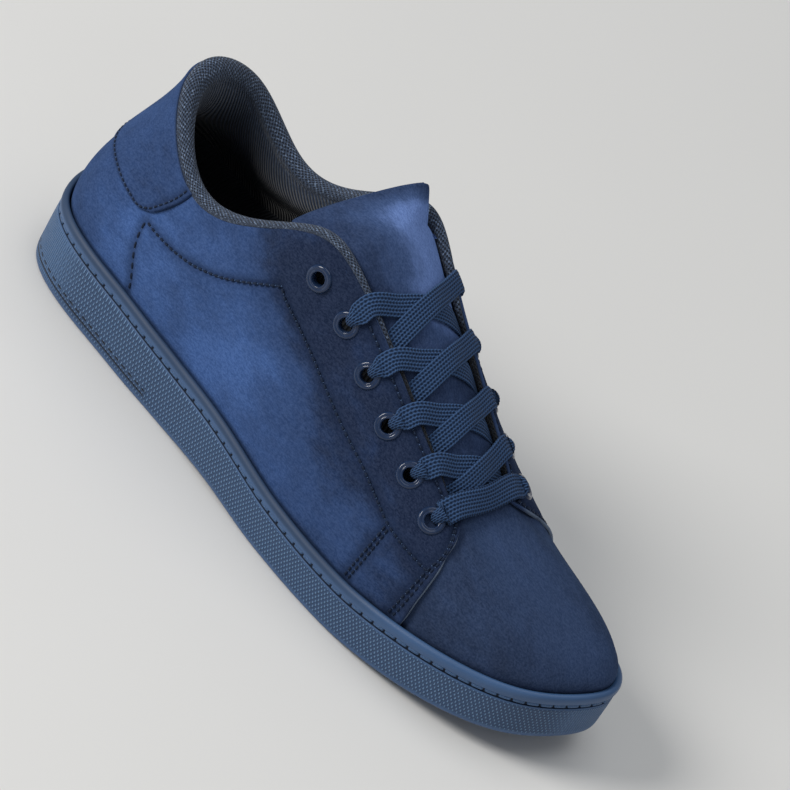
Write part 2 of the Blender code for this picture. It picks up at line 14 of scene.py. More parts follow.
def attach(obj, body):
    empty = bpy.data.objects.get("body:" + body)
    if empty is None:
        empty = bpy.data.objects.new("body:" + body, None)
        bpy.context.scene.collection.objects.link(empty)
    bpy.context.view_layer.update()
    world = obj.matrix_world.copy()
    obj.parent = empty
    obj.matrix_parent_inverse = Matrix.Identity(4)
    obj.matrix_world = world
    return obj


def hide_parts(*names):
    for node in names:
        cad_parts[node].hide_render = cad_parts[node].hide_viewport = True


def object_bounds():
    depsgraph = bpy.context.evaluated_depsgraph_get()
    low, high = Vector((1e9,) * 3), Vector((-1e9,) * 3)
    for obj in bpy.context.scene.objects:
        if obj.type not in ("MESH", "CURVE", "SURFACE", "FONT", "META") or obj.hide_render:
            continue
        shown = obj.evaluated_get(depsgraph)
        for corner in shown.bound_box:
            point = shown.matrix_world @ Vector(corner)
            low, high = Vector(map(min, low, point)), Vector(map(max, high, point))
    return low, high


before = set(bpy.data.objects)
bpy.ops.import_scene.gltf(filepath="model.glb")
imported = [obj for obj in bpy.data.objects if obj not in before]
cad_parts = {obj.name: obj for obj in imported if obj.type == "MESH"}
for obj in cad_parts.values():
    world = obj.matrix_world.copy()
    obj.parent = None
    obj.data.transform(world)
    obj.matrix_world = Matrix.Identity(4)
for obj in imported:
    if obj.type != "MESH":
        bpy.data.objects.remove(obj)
cad_low, cad_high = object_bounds()
MM = 0.001


# ---------------------------------------------------------------- material maker
# Every finish of the shoe is mixed by this small kit: a value that varies over a surface, and
# a finish that holds the nodes of one material.

TURN = 2 * math.pi


class Value:
    """A number that varies over a surface. Sums written on it become Math nodes."""

    def __init__(self, finish, socket):
        self.finish = finish
        self.socket = socket

    def __add__(self, other):
        return self.finish.math("ADD", self, other)

    def __radd__(self, other):
        return self.finish.math("ADD", other, self)

    def __sub__(self, other):
        return self.finish.math("SUBTRACT", self, other)

    def __rsub__(self, other):
        return self.finish.math("SUBTRACT", other, self)

    def __mul__(self, other):
        return self.finish.math("MULTIPLY", self, other)

    def __rmul__(self, other):
        return self.finish.math("MULTIPLY", other, self)


class Finish:
    """One procedural material. Uniform numbers go on the shader's own sockets."""

    def __init__(self, name, **sockets):
        self.material = bpy.data.materials.new(name)
        self.material.use_nodes = True
        self.tree = self.material.node_tree
        self.shader = self.tree.nodes["Principled BSDF"]
        for socket, value in sockets.items():
            self.shader.inputs[socket.replace("_", " ")].default_value = value

    def node(self, kind, settings=None, sockets=None):
        """Any node: its settings first, then the values or links of its sockets."""
        made = self.tree.nodes.new(kind)
        for name, value in (settings or {}).items():
            setattr(made, name, value)
        for name, value in (sockets or {}).items():
            self.join(value, made.inputs[name])
        return made

    def join(self, value, socket):
        if isinstance(value, Value):
            self.tree.links.new(value.socket, socket)
        elif isinstance(value, bpy.types.NodeSocket):
            self.tree.links.new(value, socket)
        else:
            socket.default_value = value

    def math(self, operation, *terms, clamp=False):
        made = self.node("ShaderNodeMath", {"operation": operation, "use_clamp": clamp},
                         dict(enumerate(terms)))
        return Value(self, made.outputs[0])

    def sine(self, value):
        return self.math("SINE", value)

    def waves(self, value, length):
        """Cosine that swings between -1 and 1 once in every length."""
        return self.math("COSINE", value * (TURN / length))

    def ridges(self, value, length):
        """0 to 1 and back once in every length, for ribs and rows."""
        return self.waves(value, length) * 0.5 + 0.5

    def clamp(self, value):
        return self.math("ADD", value, 0.0, clamp=True)

    def smooth(self, value, low, high):
        """0 below low, 1 above high, and a smooth step between."""
        made = self.node("ShaderNodeMapRange", {"interpolation_type": "SMOOTHSTEP"},
                         {"Value": value, "From Min": low, "From Max": high})
        return Value(self, made.outputs["Result"])

    def place(self):
        return self.node("ShaderNodeTexCoord").outputs["Object"]

    def stretched(self, scale, turn=(0.0, 0.0, 0.0)):
        """Object coordinates turned and scaled differently along each axis."""
        made = self.node("ShaderNodeMapping", None,
                         {"Vector": self.place(), "Rotation": turn, "Scale": scale})
        return made.outputs[0]

    def noise(self, scale, detail=2.0, roughness=0.5, place=None, distortion=0.0):
        made = self.node("ShaderNodeTexNoise", None,
                         {"Vector": place or self.place(), "Scale": scale, "Detail": detail,
                          "Roughness": roughness, "Distortion": distortion})
        return Value(self, made.outputs["Fac"])

    def kept(self, name):
        """A share stored at the mesh's points."""
        made = self.node("ShaderNodeAttribute", {"attribute_name": name})
        return Value(self, made.outputs["Fac"])

    def lengths(self):
        """The two lengths along and across a piece, in metres."""
        measure = self.node("ShaderNodeUVMap", {"uv_map": "lengths"})
        parts = self.node("ShaderNodeSeparateXYZ", None, {0: measure.outputs[0]})
        return Value(self, parts.outputs[0]), Value(self, parts.outputs[1])

    def blend(self, first, second, share, kind="MIX"):
        """Colour between two colours."""
        made = self.node("ShaderNodeMix", {"data_type": "RGBA", "blend_type": kind},
                         {0: share, 6: first, 7: second})
        return made.outputs[2]

    def colour(self, value):
        self.join(value, self.shader.inputs["Base Color"])

    def rough(self, value):
        self.join(value, self.shader.inputs["Roughness"])

    def bump(self, height, distance, strength=1.0):
        """Relief of the given height, from 0 to 1, over the distance in metres."""
        made = self.node("ShaderNodeBump", None,
                         {"Height": height, "Distance": distance, "Strength": strength})
        self.tree.links.new(made.outputs[0], self.shader.inputs["Normal"])


def rgb(red, green, blue):
    return (red, green, blue, 1.0)


# ---------------------------------------------------------------- floor, light and camera
# The shoe stands on a plain pale floor in soft daylight that comes from behind the heel on
# the outer side. The camera looks down on the outer side and is rolled, so the heel is high.

floor_size = 12.0
builder = bmesh.new()
bmesh.ops.create_grid(builder, x_segments=4, y_segments=4, size=floor_size / 2)
mesh = bpy.data.meshes.new("floor")
builder.to_mesh(mesh)
builder.free()
floor = bpy.data.objects.new("floor", mesh)
bpy.context.scene.collection.objects.link(floor)
pale = Finish("pale_floor", Roughness=0.7)
pale.colour(pale.blend(rgb(0.70, 0.69, 0.67), rgb(0.76, 0.75, 0.73), pale.noise(3.0)))
mesh.materials.append(pale.material)


def soft_light(name, place, target, size, power, tint):
    lamp = bpy.data.lights.new(name, "AREA")
    lamp.shape = "DISK"
    lamp.size = size
    lamp.energy = power
    lamp.color = tint
    holder = bpy.data.objects.new(name, lamp)
    bpy.context.scene.collection.objects.link(holder)
    holder.location = place
    holder.rotation_mode = "QUATERNION"
    holder.rotation_quaternion = (Vector(target) - Vector(place)).to_track_quat("-Z", "Y")


soft_light("window", (-1.3, -1.5, 1.5), (-0.02, 0.0, 0.05), 1.1, 46.0, (1.0, 0.985, 0.96))
soft_light("sky", (0.1, 0.3, 2.4), (0.0, 0.0, 0.05), 2.2, 17.0, (0.94, 0.97, 1.0))
soft_light("front", (1.6, -1.3, 0.7), (0.05, 0.0, 0.05), 1.6, 3.0, (0.97, 0.98, 1.0))

world = bpy.data.worlds.new("room")
world.use_nodes = True
world.node_tree.nodes["Background"].inputs["Color"].default_value = rgb(0.86, 0.89, 0.93)
world.node_tree.nodes["Background"].inputs["Strength"].default_value = 0.30
bpy.context.scene.world = world
bpy.context.scene.view_settings.view_transform = "Standard"

azimuth, elevation, roll = math.radians(27.34), math.radians(37.18), math.radians(31.43)
distance = 2.088
aim = (cad_low + cad_high) / 2 + Vector((0.0121, -0.0005, 0.00114))
forward = Vector((-math.sin(azimuth) * math.cos(elevation),
                  math.cos(azimuth) * math.cos(elevation), -math.sin(elevation)))
level = Vector((math.cos(azimuth), math.sin(azimuth), 0.0))
upright = level.cross(forward)
right = level * math.cos(roll) + upright * math.sin(roll)
above = upright * math.cos(roll) - level * math.sin(roll)
place = aim - forward * distance
camera_data = bpy.data.cameras.new("camera")
camera_data.sensor_width = 36.0
camera_data.lens = 275.1
camera_data.clip_end = 30.0
camera = bpy.data.objects.new("camera", camera_data)
bpy.context.scene.collection.objects.link(camera)
camera.matrix_world = Matrix((
    (right.x, above.x, -forward.x, place.x),
    (right.y, above.y, -forward.y, place.y),
    (right.z, above.z, -forward.z, place.z),
    (0.0, 0.0, 0.0, 1.0),
))
bpy.context.scene.camera = camera


# ---------------------------------------------------------------- cupsole
# One moulding of solid navy rubber: tread, sidewall and a rounded lip that holds the upper.
# Its sidewall is knurled under the lip and its stitches lie in a groove between the two.

LENGTH, BALL_WIDTH, HEEL_HEIGHT = 0.273, 0.0865, 0.095
# Sections of the last, toe tip to heel. Outer and inner outline, then the opening edge: along
# in hundredths of LENGTH, across of BALL_WIDTH, height of HEEL_HEIGHT. Then how the side
# rises: lift and drop as shares of its height, lean and reach in millimetres.
last_sections = np.array((
    (100.0, 13.9, 100.0, 13.9, 74.9, 0.0, 57.7, 0.60, 1.5, 28.0, 0.33),
    (98.0, -6.9, 98.4, 28.3, 74.7, 6.9, 57.9, 0.60, 1.5, 27.0, 0.33),
    (93.8, -23.7, 94.0, 37.6, 74.2, 12.7, 58.7, 0.56, 1.5, 24.0, 0.33),
    (86.6, -35.8, 85.3, 44.5, 72.5, 16.8, 61.6, 0.48, 1.5, 18.0, 0.34),
    (76.2, -44.5, 76.6, 48.6, 69.2, 18.5, 68.4, 0.46, 1.5, 14.0, 0.30),
    (63.7, -48.3, 68.1, 49.5, 63.7, 19.7, 77.4, 0.44, 2.0, 14.0, 0.25),
    (52.0, -47.4, 56.8, 46.2, 57.5, 21.2, 87.9, 0.42, 2.0, 14.5, 0.22),
    (42.1, -45.1, 45.4, 40.5, 50.5, 23.7, 99.5, 0.40, 2.5, 13.0, 0.23),
    (33.7, -43.4, 35.5, 37.6, 43.6, 27.7, 110.5, 0.38, 2.5, 10.0, 0.26),
    (26.7, -43.4, 27.5, 37.6, 37.0, 30.1, 108.4, 0.38, 2.5, 6.0, 0.32),
    (19.4, -42.8, 19.8, 38.2, 28.2, 30.6, 87.4, 0.38, 2.5, 4.0, 0.35),
    (11.4, -41.6, 11.4, 37.6, 19.0, 30.6, 80.0, 0.38, 3.0, 3.0, 0.38),
    (2.9, -31.2, 3.3, 26.0, 10.0, 20.4, 93.5, 0.38, 3.5, 2.0, 0.38),
    (-0.2, -2.3, -0.2, -2.3, 6.4, 0.0, 102.0, 0.36, 3.5, 1.5, 0.36),
))
HEEL = len(last_sections) - 1
RING = 2 * HEEL


def outer_ring(ring):
    """The outer side's number of a ring on either side."""
    return np.minimum(ring, RING - ring)


def on_side(ring, side):
    """The ring number that mirrors an outer one, where side is 1 for the inner side."""
    return ring if side < 0 else RING - ring


def directions(vectors):
    return vectors / np.linalg.norm(vectors, axis=-1, keepdims=True)


def run_along(points):
    """Length from the first point to each point of a line."""
    return np.concatenate([[0], np.cumsum(np.linalg.norm(np.diff(points, axis=0), axis=1))])


def closed_curve(values):
    """Smooth closed curve through the values, as a function of the ring number."""
    values = np.asarray(values, float)
    unit = np.eye(len(values))
    system = 4.0 * unit + np.roll(unit, 1, 0) + np.roll(unit, -1, 0)
    slopes = np.linalg.solve(system, 3.0 * (np.roll(values, -1, 0) - np.roll(values, 1, 0)))

    def at(ring):
        ring = np.asarray(ring, float)
        first = np.floor(ring).astype(int)
        f = (ring - first)[..., None]
        first = first % len(values)
        second = (first + 1) % len(values)
        return (values[first] * (1 + 2 * f) * (1 - f) ** 2
                + slopes[first] * f * (1 - f) ** 2
                + values[second] * f * f * (3 - 2 * f)
                - slopes[second] * f * f * (1 - f))

    return at


def open_curve(stations, values):
    """Smooth curve through values at rising stations, held level beyond its ends."""
    stations = np.asarray(stations, float)
    values = np.asarray(values, float)
    steps = np.diff(stations)
    rises = np.diff(values) / steps
    slopes = np.concatenate([rises[:1], (rises[1:] + rises[:-1]) / 2.0, rises[-1:]])

    def at(station):
        station = np.clip(np.asarray(station, float), stations[0], stations[-1])
        k = np.clip(np.searchsorted(stations, station, "right") - 1, 0, len(steps) - 1)
        f = (station - stations[k]) / steps[k]
        return (values[k] * (1 + 2 * f) * (1 - f) ** 2
                + slopes[k] * steps[k] * f * (1 - f) ** 2
                + values[k + 1] * f * f * (3 - 2 * f)
                - slopes[k + 1] * steps[k] * f * f * (1 - f))

    return at


def smooth_step(value):
    value = np.clip(value, 0.0, 1.0)
    return value * value * (3 - 2 * value)


def around(outer, inner):
    """One value per ring number: down the outer side to the heel, back along the inner."""
    return np.concatenate([outer, inner[-2:0:-1]])


outer_along, outer_across, inner_along, inner_across = last_sections[:, :4].T
raw_outline = np.column_stack([around(outer_along, inner_along) * LENGTH / 100,
                               around(outer_across, inner_across) * BALL_WIDTH / 100])
raw_points = closed_curve(raw_outline)(np.arange(40 * RING) / 40)
middle = (raw_points.min(0) + raw_points.max(0)) / 2
outline_curve = closed_curve(raw_outline - middle)


def heel_share(x):
    """How far forward a place is, as a share of the sole's length from the heel."""
    return (x + middle[0]) / LENGTH


def tread_height(x):
    """Underside of the sole: bevelled heel edge, arch and toe spring."""
    share = heel_share(x)
    bevel = 0.0022 * np.clip(1 - share / 0.04, 0, 2) ** 2
    arch = np.where((share > 0.32) & (share < 0.56),
                    0.0014 * np.sin(np.pi * (share - 0.32) / 0.24) ** 2, 0.0)
    spring = 0.0128 * np.clip((share - 0.69) / 0.31, 0, 2) ** 1.6
    return bevel + arch + spring


lip_height = open_curve((0, 0.20, 0.37, 0.50, 0.66, 0.80, 1),
                        np.array((29.0, 28.3, 25.8, 22.8, 21.4, 22.0, 21.5)) * MM)


def rim_height(x):
    return tread_height(x) + lip_height(heel_share(x))


def cup_floor(x):
    return tread_height(x) + 0.012 + 0.002 * np.clip(1 - 3 * heel_share(x), 0, 1)


def outline(ring, inset=0.0):
    """Plan point of the sole's outline moved inwards, and the outward direction there."""
    step = 0.02
    point = outline_curve(ring)
    along = directions(outline_curve(ring + step) - outline_curve(ring - step))
    outward = np.stack([-along[..., 1], along[..., 0]], -1)
    return point - outward * np.asarray(inset)[..., None], outward


def sheet(builder, columns, rows, place, measure=None, kept=()):
    """Bend a grid into shape: place(u, v) gives its points for shares from 0 to 1. measure
    gives the lengths that patterns follow, and kept the named shares stored at points."""
    if not builder.loops.layers.uv.get("lengths"):
        builder.loops.layers.uv.new("lengths")
    for name in dict(kept):
        if not builder.verts.layers.float.get(name):
            builder.verts.layers.float.new(name)
    lengths = builder.loops.layers.uv.get("lengths")
    made = bmesh.ops.create_grid(builder, x_segments=columns, y_segments=rows, size=0.5,
                                 calc_uvs=True)["verts"]
    shares = np.array([vertex.co[:2] for vertex in made]) + 0.5
    for vertex, point in zip(made, place(shares[:, 0], shares[:, 1])):
        vertex.co = point
    for name, share in dict(kept).items():
        layer = builder.verts.layers.float.get(name)
        for vertex, value in zip(made, share(shares[:, 0], shares[:, 1])):
            vertex[layer] = value
    if measure:
        loops = [loop for face in {f for v in made for f in v.link_faces} for loop in face.loops]
        at = np.array([loop[lengths].uv for loop in loops])
        for loop, along, across in zip(loops, *measure(at[:, 0], at[:, 1])):
            loop[lengths].uv = (along, across)
    return made


def flip(builder, made):
    faces = {face for vertex in made for face in vertex.link_faces}
    bmesh.ops.reverse_faces(builder, faces=list(faces))


def piece(name, builder, finishes, replaced, wall=0.0, smooth=0):
    """Put a finished mesh in the scene, riding on the shoe's one body."""
    mesh = bpy.data.meshes.new(name)
    builder.to_mesh(mesh)
    builder.free()
    mesh.shade_smooth()
    made = bpy.data.objects.new(name, mesh)
    bpy.context.scene.collection.objects.link(made)
    for finish in finishes:
        mesh.materials.append(finish.material)
    if wall:
        thick = made.modifiers.new("thickness", "SOLIDIFY")
        thick.thickness = wall
        thick.offset = -1.0
        thick.material_offset_rim = 1 if len(finishes) > 1 else 0
    if smooth:
        rounded = made.modifiers.new("rounded", "SUBSURF")
        rounded.levels = smooth
        rounded.render_levels = smooth
    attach(made, "root")
    for node in replaced:
        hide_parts(node)
    return made


# Sidewall section from the tread up over the lip and down into the cup: inset from the
# outline in millimetres, share of the height from tread to rim, added millimetres.
sidewall = np.array((
    (3.0, 0.00, 0.0), (2.0, 0.00, 0.02), (1.3, 0.00, 0.3), (0.85, 0.00, 0.9),
    (0.60, 0.00, 1.8), (0.50, 0.00, 3.2), (0.42, 0.25, 1.5), (0.35, 0.50, 0.0),
    (0.35, 0.75, -2.0), (0.42, 1.00, -7.0), (0.50, 1.00, -6.35), (1.10, 1.00, -6.2),
    (1.35, 1.00, -5.9), (1.30, 1.00, -5.3), (1.20, 1.00, -4.75), (0.95, 1.00, -4.4),
    (0.42, 1.00, -4.25), (0.18, 1.00, -3.9), (0.05, 1.00, -3.1), (0.0, 1.00, -2.4),
    (0.10, 1.00, -1.6), (0.40, 1.00, -0.9), (0.95, 1.00, -0.35), (1.55, 1.00, -0.05),
    (2.10, 1.00, -0.15), (2.50, 1.00, -0.6), (2.72, 1.00, -1.3), (2.85, 1.00, -2.6),
    (3.00, 1.00, -6.0),
))
SECTION_STEPS = len(sidewall) - 1
wall_station = np.linspace(0, 1, len(sidewall))
wall_inset, wall_share, wall_added = (open_curve(wall_station, column) for column in sidewall.T)
ring_station = np.linspace(0, RING, 1601)
ring_plan = outline_curve(ring_station)
ring_length = run_along(ring_plan)


def sidewall_point(ring, v, sunk=0.0):
    """Point of the sidewall: v runs from 0 at the tread to 1 inside the cup. Round the toe
    the lip's inner slope closes up to the vamp."""
    toe = smooth_step((5.0 - outer_ring(ring)) / 3.0)
    closed = 0.5 * MM * toe * smooth_step((v - 23 / SECTION_STEPS) / 0.12)
    plan, _ = outline(ring, wall_inset(v) * MM + sunk + closed)
    tread = tread_height(plan[..., 0])
    height = tread + wall_share(v) * (rim_height(plan[..., 0]) - tread) + wall_added(v) * MM
    return np.column_stack([plan, height])


section_v = np.linspace(0, 1, 561)
section_length = run_along(sidewall_point(np.full(len(section_v), 6.0), section_v))


def wall_lengths(u, v):
    return (np.interp(u * RING, ring_station, ring_length),
            np.interp(v, section_v, section_length))


def knurled(u, v):
    low, high = 4.6 / SECTION_STEPS, 9.2 / SECTION_STEPS
    return smooth_step((v - low + 0.02) / 0.03) * smooth_step((high - v) / 0.012)


def groove_and_lip_shade(u, v):
    """Painted shade: 1 in the stitch groove under the lip, and 0.66 down the shaded back of the lip
    itself, except round the toe.
    """
    ring = u * RING
    under = smooth_step((v - 10.2 / SECTION_STEPS) / 0.01) * smooth_step((15.8 / SECTION_STEPS - v) / 0.01)
    past_toe = smooth_step((outer_ring(ring) - 3.5) / 1.5)
    back = smooth_step((v - 17.8 / SECTION_STEPS) / 0.08) * past_toe
    return np.maximum(under, 0.66 * back)


def ribbed(u, v):
    """1 where the sidewall has upright ribs instead of the knurl: heel and toe tip."""
    ring = u * RING
    heel = smooth_step((2.4 - np.abs(ring - HEEL)) / 1.0)
    toe = smooth_step((1.1 - outer_ring(ring)) / 0.8)
    return np.maximum(heel, toe)


def heel_lined(u, v):
    """1 round the heel, where a moulded double line runs above the tread."""
    return smooth_step((4.6 - np.abs(u * RING - HEEL)) / 0.15)


def across_shoe(height, inset):
    """Level surface between the outer and inner outline, v from the toe to the heel."""
    def place(u, v):
        outer, _ = outline(v * HEEL, inset)
        inner, _ = outline(RING - v * HEEL, inset)
        plan = outer + (inner - outer) * u[:, None]
        return np.column_stack([plan, height(plan[:, 0])])
    return place


def rubber_finish():
    """Solid rubber: half-matt, faintly mottled, with the moulded knurl and ribs. Their relief is also
    painted into the colour as highlight and shade.
    """
    made = Finish("navy_rubber", Roughness=0.5, Specular_IOR_Level=0.4)
    along, up = made.lengths()
    knurl, ribs, groove_shade = made.kept("knurl"), made.kept("ribs"), made.kept("groove_shade")
    knurls_round, ribs_round, knurl_row = 400, 600, 2.84 * MM
    column = made.waves(along, ring_length[-1] / knurls_round)
    pebble = made.clamp(column * made.waves(up, knurl_row) * 1.3)
    upright_rib = made.ridges(along, ring_length[-1] / ribs_round)
    pattern = pebble * (1 - ribs) + upright_rib * ribs * 0.55
    mottle = made.noise(55.0, 4.0)
    fine = made.noise(1500.0, 2.0)
    base = made.blend(rgb(0.034, 0.078, 0.174), rgb(0.049, 0.112, 0.242), mottle)
    # Painted highlight and shade: pebble tops and rib crests are painted paler, and the hollows between
    # the pebbles near black.
    raised = made.blend(base, rgb(0.150, 0.270, 0.455), pattern * knurl * 0.85)
    hollow_shade = (1 - pattern) * knurl * (0.55 - ribs * 0.35)
    relief_with_painted_light = made.blend(raised, rgb(0.012, 0.029, 0.070), hollow_shade)
    # Painted shade: the moulded double line round the heel is drawn as near-black dashes for the shade in
    # its relief.
    first_line, line_gap, dash_pitch = 5.6 * MM, 1.4 * MM, 4.0 * MM
    over_line = up - first_line
    line = made.smooth(made.waves(over_line, line_gap), 0.0, 0.7) \
        * made.smooth(over_line, -0.5 * MM, -0.3 * MM) \
        * (1 - made.smooth(over_line, 1.7 * MM, 1.9 * MM))
    unbroken = 1 - made.smooth(over_line, 0.6 * MM, 0.8 * MM)
    dash = made.clamp(made.smooth(made.waves(along, dash_pitch), -0.5, 0.1) + unbroken)
    relief_with_painted_light = made.blend(relief_with_painted_light, rgb(0.004, 0.010, 0.024), line * dash * made.kept("heel_line"))
    # Painted shade: near black in the stitch groove and down the back of the lip.
    made.colour(made.blend(relief_with_painted_light, rgb(0.004, 0.009, 0.021), groove_shade * 0.9))
    made.rough(0.36 + mottle * 0.12 + knurl * 0.12 + groove_shade * 0.22)
    made.bump(pattern * knurl * 0.9 + fine * 0.05, 0.0006)
    return made


rubber = rubber_finish()
builder = bmesh.new()
wall_made = sheet(builder, 624, 81, lambda u, v: sidewall_point(u * RING, v), wall_lengths,
                  {"knurl": knurled, "ribs": ribbed, "groove_shade": groove_and_lip_shade, "heel_line": heel_lined})
flip(builder, wall_made)
sheet(builder, 24, 312, across_shoe(tread_height, 3.0 * MM))
cup_made = sheet(builder, 24, 312, across_shoe(cup_floor, 3.4 * MM))
flip(builder, cup_made)
bmesh.ops.remove_doubles(builder, verts=builder.verts, dist=0.00002)
piece("moulded_cupsole", builder, [rubber], ["cupsole"])


# ---------------------------------------------------------------- sidewall stitching
# Waxed thread in the groove under the lip: long stitches whose ends dive into the rubber,
# sewn through the cup and the upper's margin.

def thread_row(builder, points, normals, pitch, length, thickness, sink=0.3, tall=1.0, glint=0.0,
               square=0.8):
    """Row of stitches laid along the points; each is a slim bead with sunken ends, squarer
    the lower its power. When glint is given, a small pale bead lies between them: a painted glint where
    the thread bends down into the suede."""
    if not builder.verts.layers.float.get("painted_glint"):
        builder.verts.layers.float.new("painted_glint")
    painted_glint = builder.verts.layers.float.get("painted_glint")
    run = run_along(points)
    count = max(int(round(run[-1] / pitch)), 1)

    def bead(at, long, wide, deep, lifted, share):
        ends = [np.array([np.interp(at + half * long / 2, run, points[:, axis])
                          for axis in range(3)]) for half in (-1, 0, 1)]
        normal = Vector([np.interp(at, run, normals[:, axis]) for axis in range(3)])
        along = Vector(ends[2] - ends[0]).normalized()
        side = normal.cross(along).normalized()
        normal = along.cross(side)
        centre = Vector(ends[1]) + normal * lifted
        turn = Matrix((along * long, side * wide, normal * deep)).transposed()
        made = bmesh.ops.create_uvsphere(builder, u_segments=8, v_segments=6, radius=0.5,
                                         matrix=Matrix.Rotation(math.pi / 2, 4, "Y"))["verts"]
        for vertex in made:
            round_place = [math.copysign(abs(2 * c) ** square / 2, c) for c in vertex.co]
            vertex.co = centre + turn @ Vector(round_place)
            vertex[painted_glint] = share

    for k in range(count):
        at = (k + 0.5) * run[-1] / count
        bead(at, length, thickness * tall, thickness, thickness * (0.5 - sink), 0.0)
        # Painted glint: a small pale bead in the gap after each stitch.
        if glint:
            bead(at + length / 2 + 0.15 * MM, 0.5 * MM, glint, 0.4 * MM, 0.06 * MM, 1.0)


def thread_finish(name, dark, light, shine=0.45, low=0.42, high=0.66):
    made = Finish(name, Roughness=shine, Specular_IOR_Level=0.25)
    twist = made.noise(2600.0, 1.0, place=made.stretched((1.0, 1.0, 3.0), (0.5, 0.6, 0.2)))
    thread = made.blend(dark, light, made.smooth(twist, low, high))
    # Painted glint: the glint beads are coloured pale blue.
    made.colour(made.blend(thread, rgb(0.060, 0.105, 0.200), made.kept("painted_glint")))
    made.bump(twist, 0.0002)
    return made


wall_thread = thread_finish("waxed_thread", rgb(0.040, 0.088, 0.190), rgb(0.090, 0.170, 0.320))
builder = bmesh.new()
groove_v = 14.0 / SECTION_STEPS
groove_at = np.linspace(0, ring_length[-1], 2801)
groove_rings = np.interp(groove_at, ring_length, ring_station)
groove_points = sidewall_point(groove_rings, np.full(len(groove_rings), groove_v))
_, groove_out = outline(groove_rings)
groove_normals = np.column_stack([groove_out, np.zeros(len(groove_rings))])
groove_points += groove_normals * 0.2 * MM
thread_row(builder, groove_points, groove_normals, 5.0 * MM, 4.4 * MM, 0.95 * MM, tall=1.65,
           square=0.45)
piece("sidewall_stitches", builder, [wall_thread], [])


# ---------------------------------------------------------------- the last
# The form the suede is pulled over. Rise runs from 0 at the sole's lip to 1 at the edge of
# the opening, and ring numbers run from the toe tip along the outer side to the heel and back.

along_edge, half_edge, high_edge = last_sections[:, 4], last_sections[:, 5], last_sections[:, 6]
edge_across = around(-half_edge, half_edge) * BALL_WIDTH / 100 - middle[1]
HEEL_CORNER, INNER_SWELL = 14, 4.0 * MM
edge_across[HEEL_CORNER] += INNER_SWELL
edge_curve = closed_curve(np.column_stack([
    around(along_edge, along_edge) * LENGTH / 100 - middle[0],
    edge_across,
    around(high_edge, high_edge) * HEEL_HEIGHT / 100,
]))
lift, lean, reach, drop = last_sections[:, 7:].T
form_curve = closed_curve(np.column_stack([
    around(lift, lift), around(lean, lean) * MM, around(reach, reach) * MM, around(drop, drop),
]))
# How strongly the side leans out from the opening, and how far one whole rise goes down in
# the straight part inside the cup
OUTWARD_PULL = 20.0 * MM
FULL_RISE = 60.0 * MM
FOOT_INSET = 3.9 * MM
WALL = 2.2 * MM
COLLAR_PAD = 6.6 * MM


def skin(ring, rise):
    """Outer face of the lasted upper; below rise 0 it goes straight down into the cup."""
    ring, rise = np.broadcast_arrays(np.asarray(ring, float), np.asarray(rise, float))
    plan, outward = outline(ring, FOOT_INSET)
    foot = np.stack([plan[..., 0], plan[..., 1], rim_height(plan[..., 0])], -1)
    outward = np.stack([outward[..., 0], outward[..., 1], np.zeros_like(outward[..., 0])], -1)
    edge = edge_curve(ring)
    form = form_curve(ring)
    height = edge[..., 2] - foot[..., 2]
    over = foot - edge
    over[..., 2] = 0
    over = directions(over + outward * OUTWARD_PULL)
    upwards = np.array((0.0, 0.0, 1.0))
    low = foot + outward * form[..., 1:2] + upwards * (form[..., 0] * height)[..., None]
    high = edge + over * form[..., 2:3] - upwards * (form[..., 3] * height)[..., None]
    t = np.clip(rise, 0.0, 1.0)[..., None]
    s = 1 - t
    point = foot * s ** 3 + low * 3 * s * s * t + high * 3 * s * t * t + edge * t ** 3
    point[..., 2] += np.minimum(rise, 0.0) * FULL_RISE
    return point


def skin_normal(ring, rise):
    step = 0.02
    rise = np.clip(rise, 0, 1)
    low, high = np.clip(rise - step, 0, 1), np.clip(rise + step, 0, 1)
    up = skin(ring, high) - skin(ring, low)
    ahead = skin(ring + step, rise) - skin(ring - step, rise)
    return directions(np.cross(up, ahead))


def over_skin(ring, rise, proud):
    """Point standing proud of the lasted form, in metres."""
    ring, rise, proud = np.broadcast_arrays(*(np.asarray(a, float) for a in (ring, rise, proud)))
    return skin(ring, rise) + skin_normal(ring, rise) * proud[..., None]


def collar_share(ring):
    """1 round the padded collar, fading to 0 at the laced facings."""
    return np.clip((6.0 - np.abs(ring - HEEL)) / 2.0, 0, 1)


def wall_at(ring, rise):
    heel = np.clip(1 - np.abs(ring - HEEL) / 2.5, 0, 1)
    bulge = np.sin(np.pi * np.clip((rise - 0.45) / 0.75, 0, 1)) ** 2
    return WALL + collar_share(ring) * COLLAR_PAD * bulge * (0.7 + 0.5 * heel)


# Eyelets from the ankle down: ring number, and distance from the facing's edge in millimetres
seat_rings = np.array((7.97, 7.09, 6.26, 5.43, 4.62, 3.82))
seat_insets = np.array((13.2, 10.9, 10.7, 10.7, 10.9, 13.0)) * MM
seat_inset = open_curve(seat_rings[::-1], seat_insets[::-1])
QUARTER_PROUD = 0.6 * MM


def seat_rise(ring):
    """Rise at which the line of eyelets crosses a ring."""
    near = outer_ring(ring)
    rises = np.linspace(1.0, 0.6, 81)
    points = skin(near, rises)
    return float(np.interp(seat_inset(near), run_along(points), rises))


def seat_frame(side, number):
    """Frame at an eyelet: its Z axis stands straight out of the facing."""
    ring = on_side(seat_rings[number - 1], side)
    rise = seat_rise(ring)
    normal = Vector(skin_normal(ring, rise))
    turn = normal.to_track_quat("Z", "Y").to_matrix().to_4x4()
    return Matrix.Translation(Vector(over_skin(ring, rise, QUARTER_PROUD))) @ turn


seats = {(side, number): seat_frame(side, number) for side in (-1, 1) for number in range(1, 7)}


